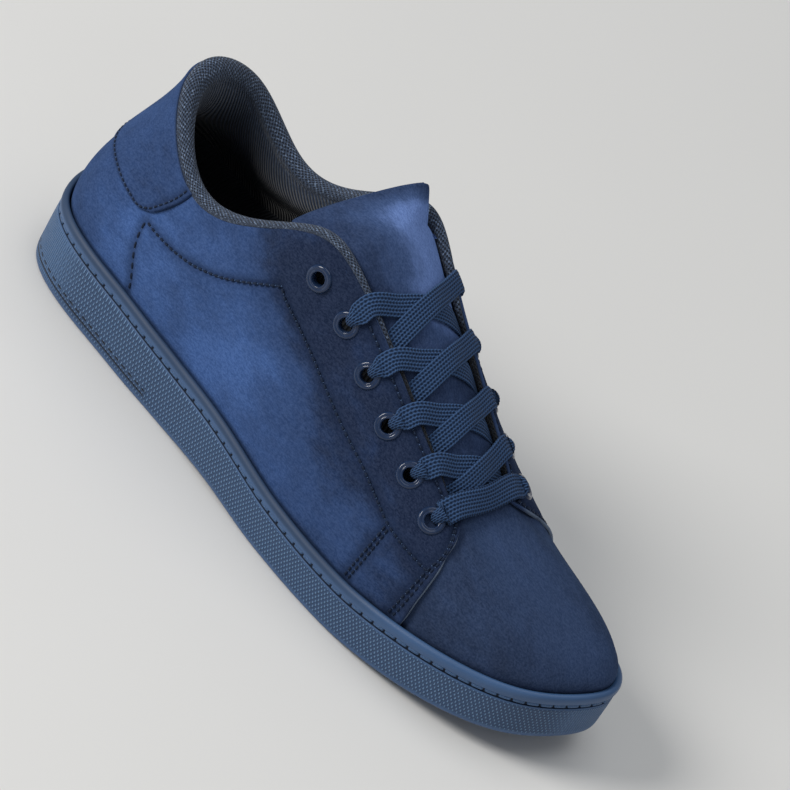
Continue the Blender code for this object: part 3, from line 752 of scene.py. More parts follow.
def punch(builder, radius):
    """Cut the eyelet holes: faces whose middle lies within the radius of a seat's axis."""
    tree_faces = list(builder.faces)
    centres = np.array([face.calc_center_median() for face in tree_faces])
    doomed = np.zeros(len(centres), bool)
    for seat in seats.values():
        local = centres - np.array(seat.translation)
        axis = np.array(seat.col[2][:3])
        depth = local @ axis
        radial = np.linalg.norm(local - depth[:, None] * axis, axis=1)
        doomed |= (radial < radius) & (np.abs(depth) < 0.012)
    bmesh.ops.delete(builder, geom=[f for f, gone in zip(tree_faces, doomed) if gone],
                     context="FACES")


# Stitch rows of the outer side as (ring, rise), laid mirrored on the inner side, with the
# stitch pitch and length in millimetres.
stitch_lines = (
    (((10.85, 0.545), (10.69, 0.44), (10.45, 0.31), (10.18, 0.18), (9.98, 0.07), (9.92, 0.01)), 4.0, 2.5),
    (((10.83, 0.55), (10.46, 0.53), (10.05, 0.49), (9.55, 0.452), (9.06, 0.46), (8.70, 0.51),
      (8.37, 0.585), (8.16, 0.645)), 2.6, 1.7),
    (((8.14, 0.642), (7.89, 0.62), (7.51, 0.612), (6.95, 0.604), (6.38, 0.590), (5.80, 0.578),
      (5.17, 0.565), (4.80, 0.53), (4.40, 0.48), (4.00, 0.468), (3.66, 0.47)), 2.6, 1.7),
    (((4.43, 0.47), (4.49, 0.23), (4.55, 0.01)), 2.7, 1.8),
    (((4.48, 0.47), (4.54, 0.23), (4.60, 0.01)), 2.7, 1.8),
    (((2.76, 0.957), (3.04, 0.805), (3.59, 0.50), (3.82, 0.24), (3.93, 0.01)), 2.7, 1.8),
    (((2.83, 0.950), (3.10, 0.798), (3.65, 0.495), (3.88, 0.238), (3.99, 0.01)), 2.7, 1.8),
    (((2.75, 0.955), (3.6, 0.945), (4.6, 0.945), (5.6, 0.945), (6.6, 0.945), (7.3, 0.945)), 2.7, 1.8),
)


def through(pairs, count=160):
    """Points spread along a smooth line through (ring, rise) pairs."""
    pairs = np.asarray(pairs, float)
    run = run_along(pairs * (1, 8))
    at = np.linspace(0, run[-1], count)
    return open_curve(run, pairs[:, 0])(at), open_curve(run, pairs[:, 1])(at)


quarter_front = open_curve((0.0, 0.257, 0.54, 0.70, 0.864, 1.0), (3.80, 3.71, 3.46, 3.22, 2.81, 2.42))


def seam_cloud(side):
    """Search tree of all the points of one side's stitch rows, for their troughs and the painted shade
    along them.
    """
    rows = []
    for pairs, _, _ in stitch_lines:
        ring, rise = through(pairs)
        rows.append(skin(on_side(ring, side), rise))
    points = np.concatenate(rows)
    tree = kdtree.KDTree(len(points))
    for k, point in enumerate(points):
        tree.insert(point, k)
    tree.balance()
    return tree


seam_trees = {side: seam_cloud(side) for side in (-1, 1)}


def seam_distance(points, side):
    return np.array([seam_trees[side].find(point)[2] for point in points])


# ---------------------------------------------------------------- suede
# Brushed split suede, dyed navy: a short dense nap that goes lighter and bluer where it was
# stroked, and darker and greyer by the laces and on the toe. Painted shade darkens it along the
# stitch rows' troughs, in front of the quarters' front edges, low by the sole's lip and at the
# heel tab's edge; on the tongue, painted light and shade are mixed into the nap.

def suede_finish(name, deep, mid, bright):
    made = Finish(name, Roughness=0.95, Specular_IOR_Level=0.06, Sheen_Weight=0.06,
                  Sheen_Roughness=0.45, Sheen_Tint=rgb(0.30, 0.55, 1.0))
    cloud = made.noise(38.0, 4.0, 0.6, distortion=0.4)
    stroked = made.noise(1.0, 3.0, 0.6, made.stretched((70.0, 190.0, 130.0), (0.2, 0.5, 0.3)))
    grain = made.noise(1500.0, 3.0, 0.7)
    fibre = made.noise(1.0, 2.0, 0.6, made.stretched((600.0, 2200.0, 1400.0), (0.4, 0.2, 0.7)))
    # The nap's lightness; on the tongue it also carries painted light and shade.
    lightness = made.clamp(made.kept("nap_and_painted_light") + (cloud - 0.5) * 0.55 + (stroked - 0.5) * 0.5)
    nap_grain_and_painted_light = made.blend(deep, mid, made.smooth(lightness, 0.0, 0.5))
    nap_grain_and_painted_light = made.blend(nap_grain_and_painted_light, bright, made.smooth(lightness, 0.42, 1.0))
    speck = made.smooth(grain * 0.5 + fibre * 0.5, 0.36, 0.64)
    nap_grain_and_painted_light = made.blend(nap_grain_and_painted_light, made.blend(nap_grain_and_painted_light, rgb(0.42, 0.46, 0.52), 1.0, "MULTIPLY"),
                      (1 - speck) * 0.52)
    nap_grain_and_painted_light = made.blend(nap_grain_and_painted_light, rgb(0.42, 0.50, 0.75), speck * 0.028)
    # Painted shade: towards the deep colour along the stitch rows' troughs and in front of the quarters'
    # front edges.
    nap_grain_and_painted_light = made.blend(nap_grain_and_painted_light, deep, made.kept("seam") * 0.5)
    nap_grain_and_painted_light = made.blend(nap_grain_and_painted_light, rgb(0.003, 0.006, 0.012), made.kept("shade"))
    made.colour(nap_grain_and_painted_light)
    made.bump(grain * 0.55 + fibre * 0.45, 0.00028, 0.8)
    return made


# ---------------------------------------------------------------- quarters
# Two side panels of suede, cut by the maker to overlap the vamp in front, with the lace
# facings in one with them. They meet at the middle of the heel, under the heel tab.

# Where the nap was stroked light or dark: ring, rise, lightness from 0 to 1
nap_strokes = (
    (12.6, 0.30, 0.36), (11.6, 0.26, 0.42), (10.8, 0.30, 0.84), (10.1, 0.48, 0.74),
    (9.6, 0.12, 0.80), (9.7, 0.70, 0.50), (9.0, 0.32, 0.58), (8.5, 0.05, 0.70),
    (8.3, 0.43, 0.52), (8.4, 0.75, 0.02), (7.8, 0.16, 0.90), (7.4, 0.33, 1.00),
    (7.4, 0.57, 0.16), (6.9, 0.03, 0.70), (6.5, 0.33, 0.42), (6.1, 0.12, 0.58),
    (5.6, 0.18, 0.50), (5.8, 0.45, 0.16), (4.9, 0.28, 0.34), (5.0, 0.05, 0.42),
    (4.4, 0.20, 0.34), (3.9, 0.25, 0.10), (7.5, 0.82, -0.2), (6.5, 0.80, 0.1),
    (5.6, 0.75, 0.0), (4.7, 0.60, 0.0), (3.6, 0.70, -0.1), (11.8, 0.75, 0.40),
)
STROKE_SPREAD = 9.0 * MM


def brushed_quarter(ring, rise):
    """Lightness of the nap, blended between the strokes."""
    near = outer_ring(ring)
    points = skin(near, rise)
    total, weights = 0.0, 1e-9
    for stroke_ring, stroke_rise, lightness in nap_strokes:
        away = np.linalg.norm(points - skin(stroke_ring, stroke_rise), axis=1) / STROKE_SPREAD
        weight = np.exp(-away * away / 2)
        total = total + weight * lightness
        weights = weights + weight
    return total / weights


suede_top = open_curve((2.0, 8.0, 9.0, 10.5, 11.5, 12.2, 13.0),
                       (0.992, 0.993, 0.985, 0.975, 0.985, 0.990, 0.990))
# Soft swells and hollows of the side: ring, rise, spread in millimetres, height in millimetres
side_forms = (
    (8.9, 0.80, 9.0, 0.5), (7.6, 0.45, 16.0, -0.7), (9.9, 0.30, 14.0, 0.5), (5.9, 0.30, 15.0, 0.5),
    (11.6, 0.28, 12.0, 0.5), (6.6, 0.70, 5.0, -0.35), (8.9, 0.62, 6.0, -0.4), (4.6, 0.70, 8.0, 0.3),
)


# Short soft creases: from one (ring, rise) to another, width and depth in millimetres
side_creases = (
    (10.15, 0.46, 9.75, 0.40, 2.2, 0.35), (9.95, 0.37, 9.60, 0.33, 1.8, 0.25),
    (9.35, 0.86, 9.05, 0.60, 4.5, 0.45), (8.55, 0.74, 8.30, 0.66, 3.0, 0.35),
    (7.65, 0.80, 7.45, 0.70, 3.0, 0.30), (12.15, 0.34, 11.95, 0.20, 2.6, 0.30),
    (5.05, 0.30, 4.75, 0.62, 4.0, 0.35),
)


def creases(points, side):
    """Depth of the short creases at each point."""
    total = np.zeros(len(points))
    for ring_from, rise_from, ring_to, rise_to, width, depth in side_creases:
        ring, rise = np.linspace(ring_from, ring_to, 12), np.linspace(rise_from, rise_to, 12)
        line = skin(on_side(ring, side), rise)
        away = np.linalg.norm(points[:, None] - line, axis=2).min(1) / (width * MM)
        total += 1.7 * depth * MM * np.exp(-away * away)
    return total


def swells(points, forms, side):
    total = np.zeros(len(points))
    for ring, rise, spread, height in forms:
        centre = skin(on_side(ring, side), rise)
        away = np.linalg.norm(points - centre, axis=1) / (spread * MM)
        total += height * MM * np.exp(-away * away)
    return total


def quarter(name, side, finishes):
    def ring_rise(u, v):
        rise = -0.05 + v * 1.05
        near = quarter_front(rise) + (HEEL - quarter_front(rise)) * u
        rise = rise * suede_top(near)
        return on_side(near, side), rise, near

    def place(u, v):
        ring, rise, near = ring_rise(u, v)
        base = skin(ring, rise)
        seam = seam_distance(base, side)
        trough = 0.5 * MM * np.exp(-(seam / (1.1 * MM)) ** 2)
        puff = 0.25 * MM * np.exp(-((seam - 3.5 * MM) / (2.2 * MM)) ** 2)
        proud = QUARTER_PROUD * smooth_step((rise + 0.06) / 0.07) + 0.25 * MM
        front = 0.4 * MM * np.exp(-((near - quarter_front(rise)) / 0.10) ** 2)
        raised = proud - trough + puff + front + swells(base, side_forms, side) - creases(base, side)
        return base + skin_normal(ring, rise) * raised[:, None]

    # Painted shade in the troughs along the stitch rows.
    def seam_trough_shade(u, v):
        ring, rise, near = ring_rise(u, v)
        return np.exp(-(seam_distance(skin(ring, rise), side) / (2.4 * MM)) ** 2)

    def nap_and_painted_light(u, v):
        ring, rise, near = ring_rise(u, v)
        return brushed_quarter(ring, rise)

    def shade(u, v):
        ring, rise, near = ring_rise(u, v)
        return 0.5 * smooth_step((0.02 - rise) / 0.03)

    def front_edge(u, v):
        ring, rise, near = ring_rise(u, v)
        return smooth_step((0.25 - near + quarter_front(rise)) / 0.2) * smooth_step((0.93 - rise) / 0.1)

    builder = bmesh.new()
    made = sheet(builder, 190, 84, place, None,
                 {"seam": seam_trough_shade, "nap_and_painted_light": nap_and_painted_light, "shade": shade, "front": front_edge})
    if side < 0:
        flip(builder, made)
    punch(builder, 3.0 * MM)
    return piece(name, builder, finishes, ["upper"], wall=1.3 * MM)


quarter_suede = suede_finish("navy_suede_quarter", rgb(0.013, 0.023, 0.056),
                             rgb(0.033, 0.068, 0.176), rgb(0.058, 0.124, 0.325))
raw_edge = Finish("raw_suede_edge", Roughness=0.95)
pale_cut = raw_edge.blend(rgb(0.06, 0.09, 0.15), rgb(0.17, 0.22, 0.30), raw_edge.noise(900.0))
raw_edge.colour(raw_edge.blend(rgb(0.024, 0.052, 0.135), pale_cut, raw_edge.kept("front")))
quarter("quarter_lateral", -1, [quarter_suede, raw_edge])
quarter("quarter_medial", 1, [quarter_suede, raw_edge])


# ---------------------------------------------------------------- vamp
# One piece of suede over the toes, under the quarters at both sides. Its top carries on
# under the lace's bar, where the tongue is sewn to its underside.

vamp_end = np.array((190.5 * MM - middle[0], -middle[1], 66.0 * MM))
UNDER_QUARTER = 0.9
APRON = 0.70


def vamp_ring_rise(u, v):
    rise = np.clip(v / APRON, 0, 1) * 1.05 - 0.05
    return (2 * u - 1) * (quarter_front(rise) + UNDER_QUARTER), rise


def vamp_place(u, v):
    ring, rise = vamp_ring_rise(u, v)
    tuck = smooth_step((np.abs(ring) - 2.0) / 0.7) * smooth_step((rise - 0.6) / 0.3)
    bare = smooth_step((quarter_front(rise) - np.abs(ring)) / 0.2)
    foot = smooth_step((0.20 - rise) / 0.16) * bare
    proud = (-0.1 - 0.9 * tuck + 0.75 * foot) * MM
    base = over_skin(ring, rise, proud)
    beyond = np.clip((v - APRON) / (1 - APRON), 0, 1)
    start = over_skin(ring, np.ones_like(ring), proud)
    heading = directions(skin(ring, 1.0) - skin(ring, 0.96))
    span = vamp_end - start
    length = np.linalg.norm(span, axis=1, keepdims=True)
    flat = span / length
    flat[:, 2] = -0.55 * flat[:, 0]
    f = beyond[:, None]
    over = (start * (1 + 2 * f) * (1 - f) ** 2 + heading * length * f * (1 - f) ** 2
            + vamp_end * f * f * (3 - 2 * f) - flat * length * 0.9 * f * f * (1 - f))
    return np.where((v > APRON)[:, None], over, base)


def vamp_brushed(u, v):
    ring, rise = vamp_ring_rise(u, v)
    crown = np.exp(-(((np.abs(ring) - 0.4) / 1.6) ** 2 + ((rise - 0.95) / 0.35) ** 2))
    tip = np.exp(-(((ring - 0.3) / 0.9) ** 2 + ((rise - 0.35) / 0.3) ** 2))
    return 0.22 + 0.35 * crown + 0.25 * tip


# Painted shade on the vamp just in front of the quarters' raised front edges, full under them.
def vamp_shade_by_quarter_edge(u, v):
    ring, rise = vamp_ring_rise(u, v)
    past = np.abs(ring) - quarter_front(rise)
    return np.exp(-(np.minimum(past, 0) / 0.16) ** 2) * 0.9


def vamp_shade(u, v):
    ring, rise = vamp_ring_rise(u, v)
    return (0.1 + 0.3 * smooth_step((np.abs(ring) - 1.5) / 2.0)) * smooth_step((0.02 - rise) / 0.04)


vamp_suede = suede_finish("navy_suede_vamp", rgb(0.019, 0.032, 0.070), rgb(0.032, 0.056, 0.124),
                          rgb(0.046, 0.080, 0.180))
builder = bmesh.new()
made = sheet(builder, 200, 110, vamp_place, None,
             {"seam": vamp_shade_by_quarter_edge, "nap_and_painted_light": vamp_brushed, "shade": vamp_shade})
flip(builder, made)
bmesh.ops.remove_doubles(builder, verts=builder.verts, dist=0.00005)
piece("vamp", builder, [vamp_suede], ["upper"], wall=1.2 * MM)


# ---------------------------------------------------------------- lining
# Dark textile glued to the inside of the vamp and quarters, from the opening down to the
# footbed.

RIB_PITCH = 1.6 * MM
# Rise down to which the collar's knit covers the lining
knit_low = open_curve((2.0, 6.0, 7.5, 9.0, 13.0), (0.90, 0.88, 0.78, 0.45, 0.42))


def lining_place(u, v):
    ring = u * RING
    rise = np.where(v < 0.15, 0.0, (v - 0.15) / 0.85 * 0.97)
    covered = smooth_step((rise - knit_low(outer_ring(ring)) - 0.01) / 0.05)
    depth = wall_at(ring, rise) + (0.3 - 1.0 * covered) * MM
    point = over_skin(ring, rise, -depth)
    plan, _ = outline(ring, FOOT_INSET + WALL + 0.0003)
    foot = np.column_stack([plan, cup_floor(plan[:, 0]) + 0.0006])
    share = np.clip(v / 0.15, 0, 1)[:, None]
    return np.where((v < 0.15)[:, None], foot * (1 - share) + point * share, point)


lining = Finish("dark_lining", Roughness=0.95)
along, up = lining.lengths()
rib = lining.sine(along * (TURN / RIB_PITCH)) * 0.5 + 0.5
lining.colour(lining.blend(rgb(0.005, 0.007, 0.011), rgb(0.014, 0.018, 0.026), rib))
lining.bump(rib, 0.0003)
builder = bmesh.new()
made = sheet(builder, 312, 50, lining_place, wall_lengths)
bmesh.ops.remove_doubles(builder, verts=builder.verts, dist=0.00001)
punch(builder, 2.9 * MM)
piece("lining", builder, [lining], ["upper"])


# ---------------------------------------------------------------- collar
# Foam collar covered with a dark knit that shows as a band over the suede's top edge, rolls
# over it and runs down inside. Along the facings it narrows to a thin bound edge.

knit_start = open_curve((2.0, 6.6, 7.6, 8.3, 9.0, 10.5, 11.5, 12.2, 13.0),
                        (0.990, 0.990, 0.988, 0.985, 0.972, 0.957, 0.965, 0.975, 0.975))
COLLAR_FRONT = 2.35


def collar_place(u, v):
    ring = COLLAR_FRONT + (RING - 2 * COLLAR_FRONT) * u
    near = outer_ring(ring)
    outer, roll = 0.20, 0.55
    pad = collar_share(ring)
    band = smooth_step((near - 6.5) / 0.9)
    start = knit_start(near)
    first = np.clip(v / outer, 0, 1)
    rise = start + (1 - start) * first
    lowest = (-0.75 + 0.75 * band) * MM
    puff = lowest + (0.15 + (0.55 + 0.45 * pad) * smooth_step(first / 0.45)) * MM
    on_outside = over_skin(ring, rise, puff)
    top = over_skin(ring, 1.0, lowest + (0.70 + 0.45 * pad) * MM)
    rolled = 1 - 0.035 * pad
    inside = over_skin(ring, rolled, -wall_at(ring, rolled))
    turn = np.clip((v - outer) / (roll - outer), 0, 1)[:, None] * math.pi
    centre = (top + inside) / 2
    up = directions(skin(ring, 1.0) - skin(ring, 0.96))
    radius = np.linalg.norm(top - inside, axis=1, keepdims=True) / 2
    on_roll = centre + (top - centre) * np.cos(turn) + up * radius * np.sin(turn)
    low = knit_low(near)
    down = rolled - (rolled - low) * np.clip((v - roll) / (1 - roll), 0, 1)
    on_inside = over_skin(ring, down, -wall_at(ring, down))
    made = np.where((v > outer)[:, None], on_roll, on_outside)
    return np.where((v > roll)[:, None], on_inside, made)


def collar_lengths(u, v):
    ring = COLLAR_FRONT + (RING - 2 * COLLAR_FRONT) * u
    station = np.linspace(0, RING, 801)
    run = run_along(edge_curve(station))
    depth = 0.012 + 0.038 * collar_share(ring)
    slant = np.clip((ring - HEEL) / 1.5, -1, 1) * np.maximum(v - 0.5, 0) * depth * 1.6
    return np.interp(ring, station, run) - slant, v * depth


def collar_depth(u, v):
    """1 where the knit lies in the dark: deep inside, and beside the lower eyelets."""
    ring = COLLAR_FRONT + (RING - 2 * COLLAR_FRONT) * u
    facing = 0.9 * smooth_step((7.0 - outer_ring(ring)) / 0.7)
    inner = 0.15 * smooth_step((v - 0.5) / 0.1) + 0.8 * smooth_step((v - 0.68) / 0.28)
    return np.maximum(inner, facing)


knit = Finish("dark_knit", Roughness=0.9, Specular_IOR_Level=0.2, Sheen_Weight=0.12)
along, across = knit.lengths()
inner_rib = knit.kept("inside")
diamond = knit.waves(along, 1.8 * MM) * knit.waves(across, 2.0 * MM)
yarn = 1 - knit.smooth(diamond, -0.15, 0.55)
rib = knit.sine(along * (TURN / RIB_PITCH)) * 0.5 + 0.5
stuff = yarn * (1 - inner_rib) + rib * inner_rib
fleck = knit.smooth(knit.noise(1300.0, 2.0), 0.50, 0.68)
dark = knit.blend(rgb(0.009, 0.014, 0.026), rgb(0.046, 0.067, 0.112), stuff)
pale_yarn = knit.blend(dark, rgb(0.20, 0.27, 0.40), fleck * stuff * (1 - inner_rib * 0.85) * 0.75)
knit.colour(knit.blend(pale_yarn, rgb(0.003, 0.004, 0.006), knit.kept("deep")))
knit.bump(stuff, 0.0006)
builder = bmesh.new()
made = sheet(builder, 420, 56, collar_place, collar_lengths, {
    "inside": lambda u, v: smooth_step((v - 0.40) / 0.24),
    "deep": collar_depth})
flip(builder, made)
collar = piece("collar", builder, [knit], ["upper"])


# ---------------------------------------------------------------- heel tab
# Suede overlay wrapped round the back of the collar, folded over at its edge and sewn down
# all round. It stands up from the quarters most at its lower front corners.

tab_low = open_curve((0.0, 0.6, 1.2, 1.7, 1.95, 2.1), (0.39, 0.405, 0.465, 0.52, 0.565, 0.655))
TAB_REACH = 2.1
TAB_TOP = 0.985
TAB_HALF_LENGTH, TAB_HEIGHT, TAB_MARGIN = 50.0 * MM, 45.0 * MM, 2.2 * MM


def tab_ring_rise(u, v):
    a = 2 * u - 1
    spread = TAB_REACH * np.abs(a)
    low = tab_low(spread)
    lean = 0.04 * (v - 0.5) * np.abs(a) ** 3
    return HEEL + np.sign(a) * (spread + lean), low + (TAB_TOP - low) * v, a


def tab_border(u, v):
    """Distance in metres from the tab's sewn border, roughly."""
    a = np.abs(2 * u - 1)
    return np.minimum((1 - a) * TAB_HALF_LENGTH, v * TAB_HEIGHT)


def tab_place(u, v):
    ring, rise, a = tab_ring_rise(u, v)
    border = tab_border(u, v)
    fold = np.sqrt(np.clip(1 - (1 - np.clip(border / (1.0 * MM), 0, 1)) ** 2, 0, 1))
    corner = np.exp(-(((np.abs(a) - 0.97) / 0.12) ** 2 + ((v - 0.25) / 0.35) ** 2))
    trough = 0.35 * MM * np.exp(-((border - TAB_MARGIN) / (0.9 * MM)) ** 2)
    proud = QUARTER_PROUD + 0.25 * MM + (1.15 * MM + 0.7 * MM * corner) * fold - trough
    return over_skin(ring, rise, proud)


builder = bmesh.new()
made = sheet(builder, 150, 60, tab_place, None, {
    # Painted shade along the sewn trough inside the tab's border.
    "seam": lambda u, v: np.exp(-((tab_border(u, v) - TAB_MARGIN) / (1.6 * MM)) ** 2),
    "nap_and_painted_light": lambda u, v: 0.38 + 0 * u,
    "shade": lambda u, v: 0.6 * np.exp(-(tab_border(u, v) / (0.4 * MM)) ** 2)})
flip(builder, made)
piece("heel_tab_suede", builder, [quarter_suede, raw_edge], ["heel_tab"], wall=1.0 * MM)


# ---------------------------------------------------------------- upper stitching
# Navy polyester thread, lockstitched through the suede: single rows at the heel and along
# the facings, double rows on the straps and at the quarter's front edge.

suede_thread = thread_finish("navy_thread", rgb(0.003, 0.009, 0.027), rgb(0.010, 0.026, 0.068),
                             0.7, 0.45, 0.70)
for side, name in ((-1, "lateral"), (1, "medial")):
    builder = bmesh.new()
    for pairs, pitch, length in stitch_lines:
        ring, rise = through(pairs)
        ring = on_side(ring, side)
        points = over_skin(ring, rise, QUARTER_PROUD - 0.05 * MM)
        thread_row(builder, points, skin_normal(ring, rise), pitch * MM, length * MM, 0.95 * MM,
                   glint=0.5 * MM)
    piece(f"stitches_{name}", builder, [suede_thread], [])

builder = bmesh.new()
tab_v, tab_u = TAB_MARGIN / TAB_HEIGHT, TAB_MARGIN / TAB_HALF_LENGTH / 2
round_u, round_v = 0.035, 0.16
bend_angle = np.linspace(0, np.pi / 2, 20)
tab_path = np.concatenate([
    np.column_stack([np.full(40, tab_u), np.linspace(0.98, round_v, 40)]),
    np.column_stack([tab_u + round_u * (1 - np.cos(bend_angle)),
                     tab_v + (round_v - tab_v) * (1 - np.sin(bend_angle))]),
    np.column_stack([np.linspace(tab_u + round_u, 0.5, 60), np.full(60, tab_v)]),
])
tab_path = np.concatenate([tab_path, (tab_path * (-1, 1) + (1, 0))[::-1]])
ring, rise, _ = tab_ring_rise(tab_path[:, 0], tab_path[:, 1])
points = tab_place(tab_path[:, 0], tab_path[:, 1])
thread_row(builder, points, skin_normal(ring, rise), 2.3 * MM, 1.5 * MM, 0.75 * MM,
           glint=0.45 * MM)
piece("stitches_heel_tab", builder, [suede_thread], [])


# ---------------------------------------------------------------- eyelets
# Pressed metal rings, enamelled navy: a rounded flange on the facing, a raised inner lip and
# a barrel through the hole. Six on each facing.

# radius and height over the facing, in millimetres, from the barrel's foot out to the flange
eyelet_section = ((2.45, -3.0), (2.45, -0.2), (2.50, 0.55), (2.68, 0.98), (2.95, 1.14), (3.22, 1.08),
                  (3.42, 0.95), (3.60, 1.02), (3.85, 1.13), (4.20, 1.14), (4.55, 1.00), (4.85, 0.70),
                  (5.04, 0.36), (5.12, 0.06), (5.06, -0.25), (3.4, -0.30), (2.95, -0.40), (2.95, -3.0))
enamel = Finish("navy_enamel", Metallic=0.0, Roughness=0.24, Coat_Weight=0.5, Coat_Roughness=0.05,
                Specular_IOR_Level=0.15)
wear = enamel.noise(420.0, 3.0)
enamel.colour(enamel.blend(rgb(0.008, 0.018, 0.050), rgb(0.016, 0.035, 0.086), wear))
enamel.rough(0.18 + wear * 0.10)
for (side, number), seat in seats.items():
    builder = bmesh.new()
    section = [builder.verts.new((radius * MM, 0.0, height * MM)) for radius, height in eyelet_section]
    edges = [builder.edges.new(pair) for pair in zip(section, section[1:] + section[:1])]
    bmesh.ops.spin(builder, geom=section + edges, cent=(0, 0, 0), axis=(0, 0, 1),
                   angle=TURN, steps=40, use_merge=True)
    bmesh.ops.remove_doubles(builder, verts=builder.verts, dist=0.000005)
    bmesh.ops.recalc_face_normals(builder, faces=builder.faces)
    bmesh.ops.transform(builder, matrix=seat, verts=builder.verts)
    name = f"eyelet_{'lateral' if side < 0 else 'medial'}_{number}"
    piece(f"{name}_ring", builder, [enamel], [name], smooth=1)


# ---------------------------------------------------------------- tongue
# Padded suede tongue, sewn under the vamp, arched between the facings and free at its top,
# where it leans to the outer ankle.

TONGUE_ROOM = 1.3 * MM
tongue_rings = (0.35, 1.5, 3.0, 4.5, 6.0, 7.2, 8.0)
tongue_crown = open_curve(tongue_rings, np.array((0.6, 1.4, 3.2, 6.0, 8.0, 8.6, 8.6)) * MM)
tongue_tuck = open_curve(tongue_rings, (0.16, 0.16, 0.15, 0.13, 0.12, 0.10, 0.07))
tongue_depth = open_curve(tongue_rings, np.array((2.0, 2.4, 3.0, 4.0, 5.0, 5.5, 5.5)) * MM)
# Free end in millimetres: crest's place, its height, half width, droop of the borders,
# thickness, skew and rise towards the inner side
tongue_top = (
    (113.0, 111.2, 19.4, 7.4, 5.6, 0.12, 0.15), (106.0, 111.2, 19.9, 6.3, 5.6, 0.28, 0.40),
    (99.0, 109.6, 20.4, 4.0, 4.8, 0.42, 0.60), (96.5, 108.6, 18.8, 2.7, 2.6, 0.46, 0.66),
)


def tongue_row(ring):
    under = []
    for share in (1.0, 0.66, 0.33):
        rise = 1 - tongue_tuck(ring) * share
        under.append([over_skin(number, rise, -wall_at(number, rise) - TONGUE_ROOM)
                      for number in (ring, RING - ring)])
    edge = edge_curve(ring)
    half = abs(edge[1] + middle[1])
    back = 3.6 * MM * max(0.0, 1 - ring / 2.5)
    between = [np.array((edge[0] - back, half * q - middle[1],
                         edge[2] - WALL - TONGUE_ROOM + tongue_crown(ring) * (1 - q * q)))
               for q in (-0.8, -0.6, -0.3, 0.0, 0.3, 0.6, 0.8)]
    return [pair[0] for pair in under] + between + [pair[1] for pair in under[::-1]]


def tongue_top_row(along, height, half, droop, thickness, skew, rise):
    q = np.array((-1.0, -0.94, -0.86, -0.76, -0.6, -0.35, 0.0, 0.35, 0.6, 0.76, 0.86, 0.94, 1.0))
    y = half * q
    row = np.column_stack([along + skew * y, y, height - droop * np.abs(q) ** 3 + rise * y]) * MM
    return row - (middle[0], middle[1], 0.0)


tongue_numbers = np.linspace(0.35, 8.0, 12)
tongue_grid = np.array([tongue_row(number) for number in tongue_numbers]
                       + [tongue_top_row(*row) for row in tongue_top])
tongue_thick = np.concatenate([tongue_depth(tongue_numbers), [row[4] * MM for row in tongue_top]])


def patch(grid, u, v):
    """Smooth surface through a grid of points; u across and v along, from 0 to 1."""
    def weights(share, count):
        at = np.clip(share, 0, 1) * (count - 1)
        k = np.clip(np.floor(at).astype(int), 0, count - 2)
        f = at - k
        return k, (-0.5 * f + f * f - 0.5 * f ** 3, 1 - 2.5 * f * f + 1.5 * f ** 3,
                   0.5 * f + 2 * f * f - 1.5 * f ** 3, -0.5 * f * f + 0.5 * f ** 3)
    padded_grid = np.concatenate([2 * grid[:1] - grid[1:2], grid, 2 * grid[-1:] - grid[-2:-1]])
    padded_grid = np.concatenate([2 * padded_grid[:, :1] - padded_grid[:, 1:2], padded_grid,
                                  2 * padded_grid[:, -1:] - padded_grid[:, -2:-1]], axis=1)
    row, row_weights = weights(v, grid.shape[0])
    column, column_weights = weights(u, grid.shape[1])
    total = 0
    for j, row_weight in enumerate(row_weights):
        for k, column_weight in enumerate(column_weights):
            total = total + padded_grid[row + j, column + k] * (row_weight * column_weight)[:, None]
    return total


def tongue_place(u, v):
    """Closed section: u 0 to 0.5 over the face, then back along the underside."""
    face = u < 0.5
    across = np.where(face, u * 2, 2 - u * 2)
    q = 2 * across - 1
    top = patch(tongue_grid, across, v)
    step = 0.01
    before, after = np.clip(v - step, 0, 1), np.clip(v + step, 0, 1)
    left, right = np.clip(across - step, 0, 1), np.clip(across + step, 0, 1)
    ahead = patch(tongue_grid, across, after) - patch(tongue_grid, across, before)
    sideways = patch(tongue_grid, right, v) - patch(tongue_grid, left, v)
    normal = directions(np.cross(ahead, sideways))
    normal *= np.sign(normal[:, 2:3])
    thick = np.interp(v, np.linspace(0, 1, len(tongue_thick)), tongue_thick)
    to_tip = np.clip((v - 0.90) / 0.10, 0, 1)
    rounded = np.sqrt(np.clip(1 - np.abs(q) ** 8, 0, 1) * np.clip(1 - to_tip ** 6, 0, 1))
    depth = np.where(face, thick * 0.5 * (1 - rounded), thick * 0.5 * (1 + rounded))
    return top - normal * depth[:, None]


# Painted light and shade in the nap's lightness: lighter towards the tongue's inner side, where light
# falls, and darker at its top end and over its lower half under the laces, where shade falls.
def tongue_nap_and_painted_light(u, v):
    across = np.where(u < 0.5, u * 2, 2 - u * 2)
    light = smooth_step((across - 0.28) / 0.36) * smooth_step((0.94 - v) / 0.12)
    return 0.08 + 0.92 * light * smooth_step((v - 0.50) / 0.14)


# Its bright colour serves the painted light on the tongue's inner side.
tongue_suede = suede_finish("navy_suede_tongue", rgb(0.020, 0.036, 0.086), rgb(0.045, 0.080, 0.185),
                            rgb(0.150, 0.240, 0.520))
builder = bmesh.new()
made = sheet(builder, 160, 150, tongue_place, None, {
    "seam": lambda u, v: 0 * u,
    "nap_and_painted_light": tongue_nap_and_painted_light,
    "shade": lambda u, v: 0 * u})
bmesh.ops.remove_doubles(builder, verts=builder.verts, dist=0.00002)
bmesh.ops.recalc_face_normals(builder, faces=builder.faces)
tongue = piece("padded_tongue", builder, [tongue_suede], ["tongue"])


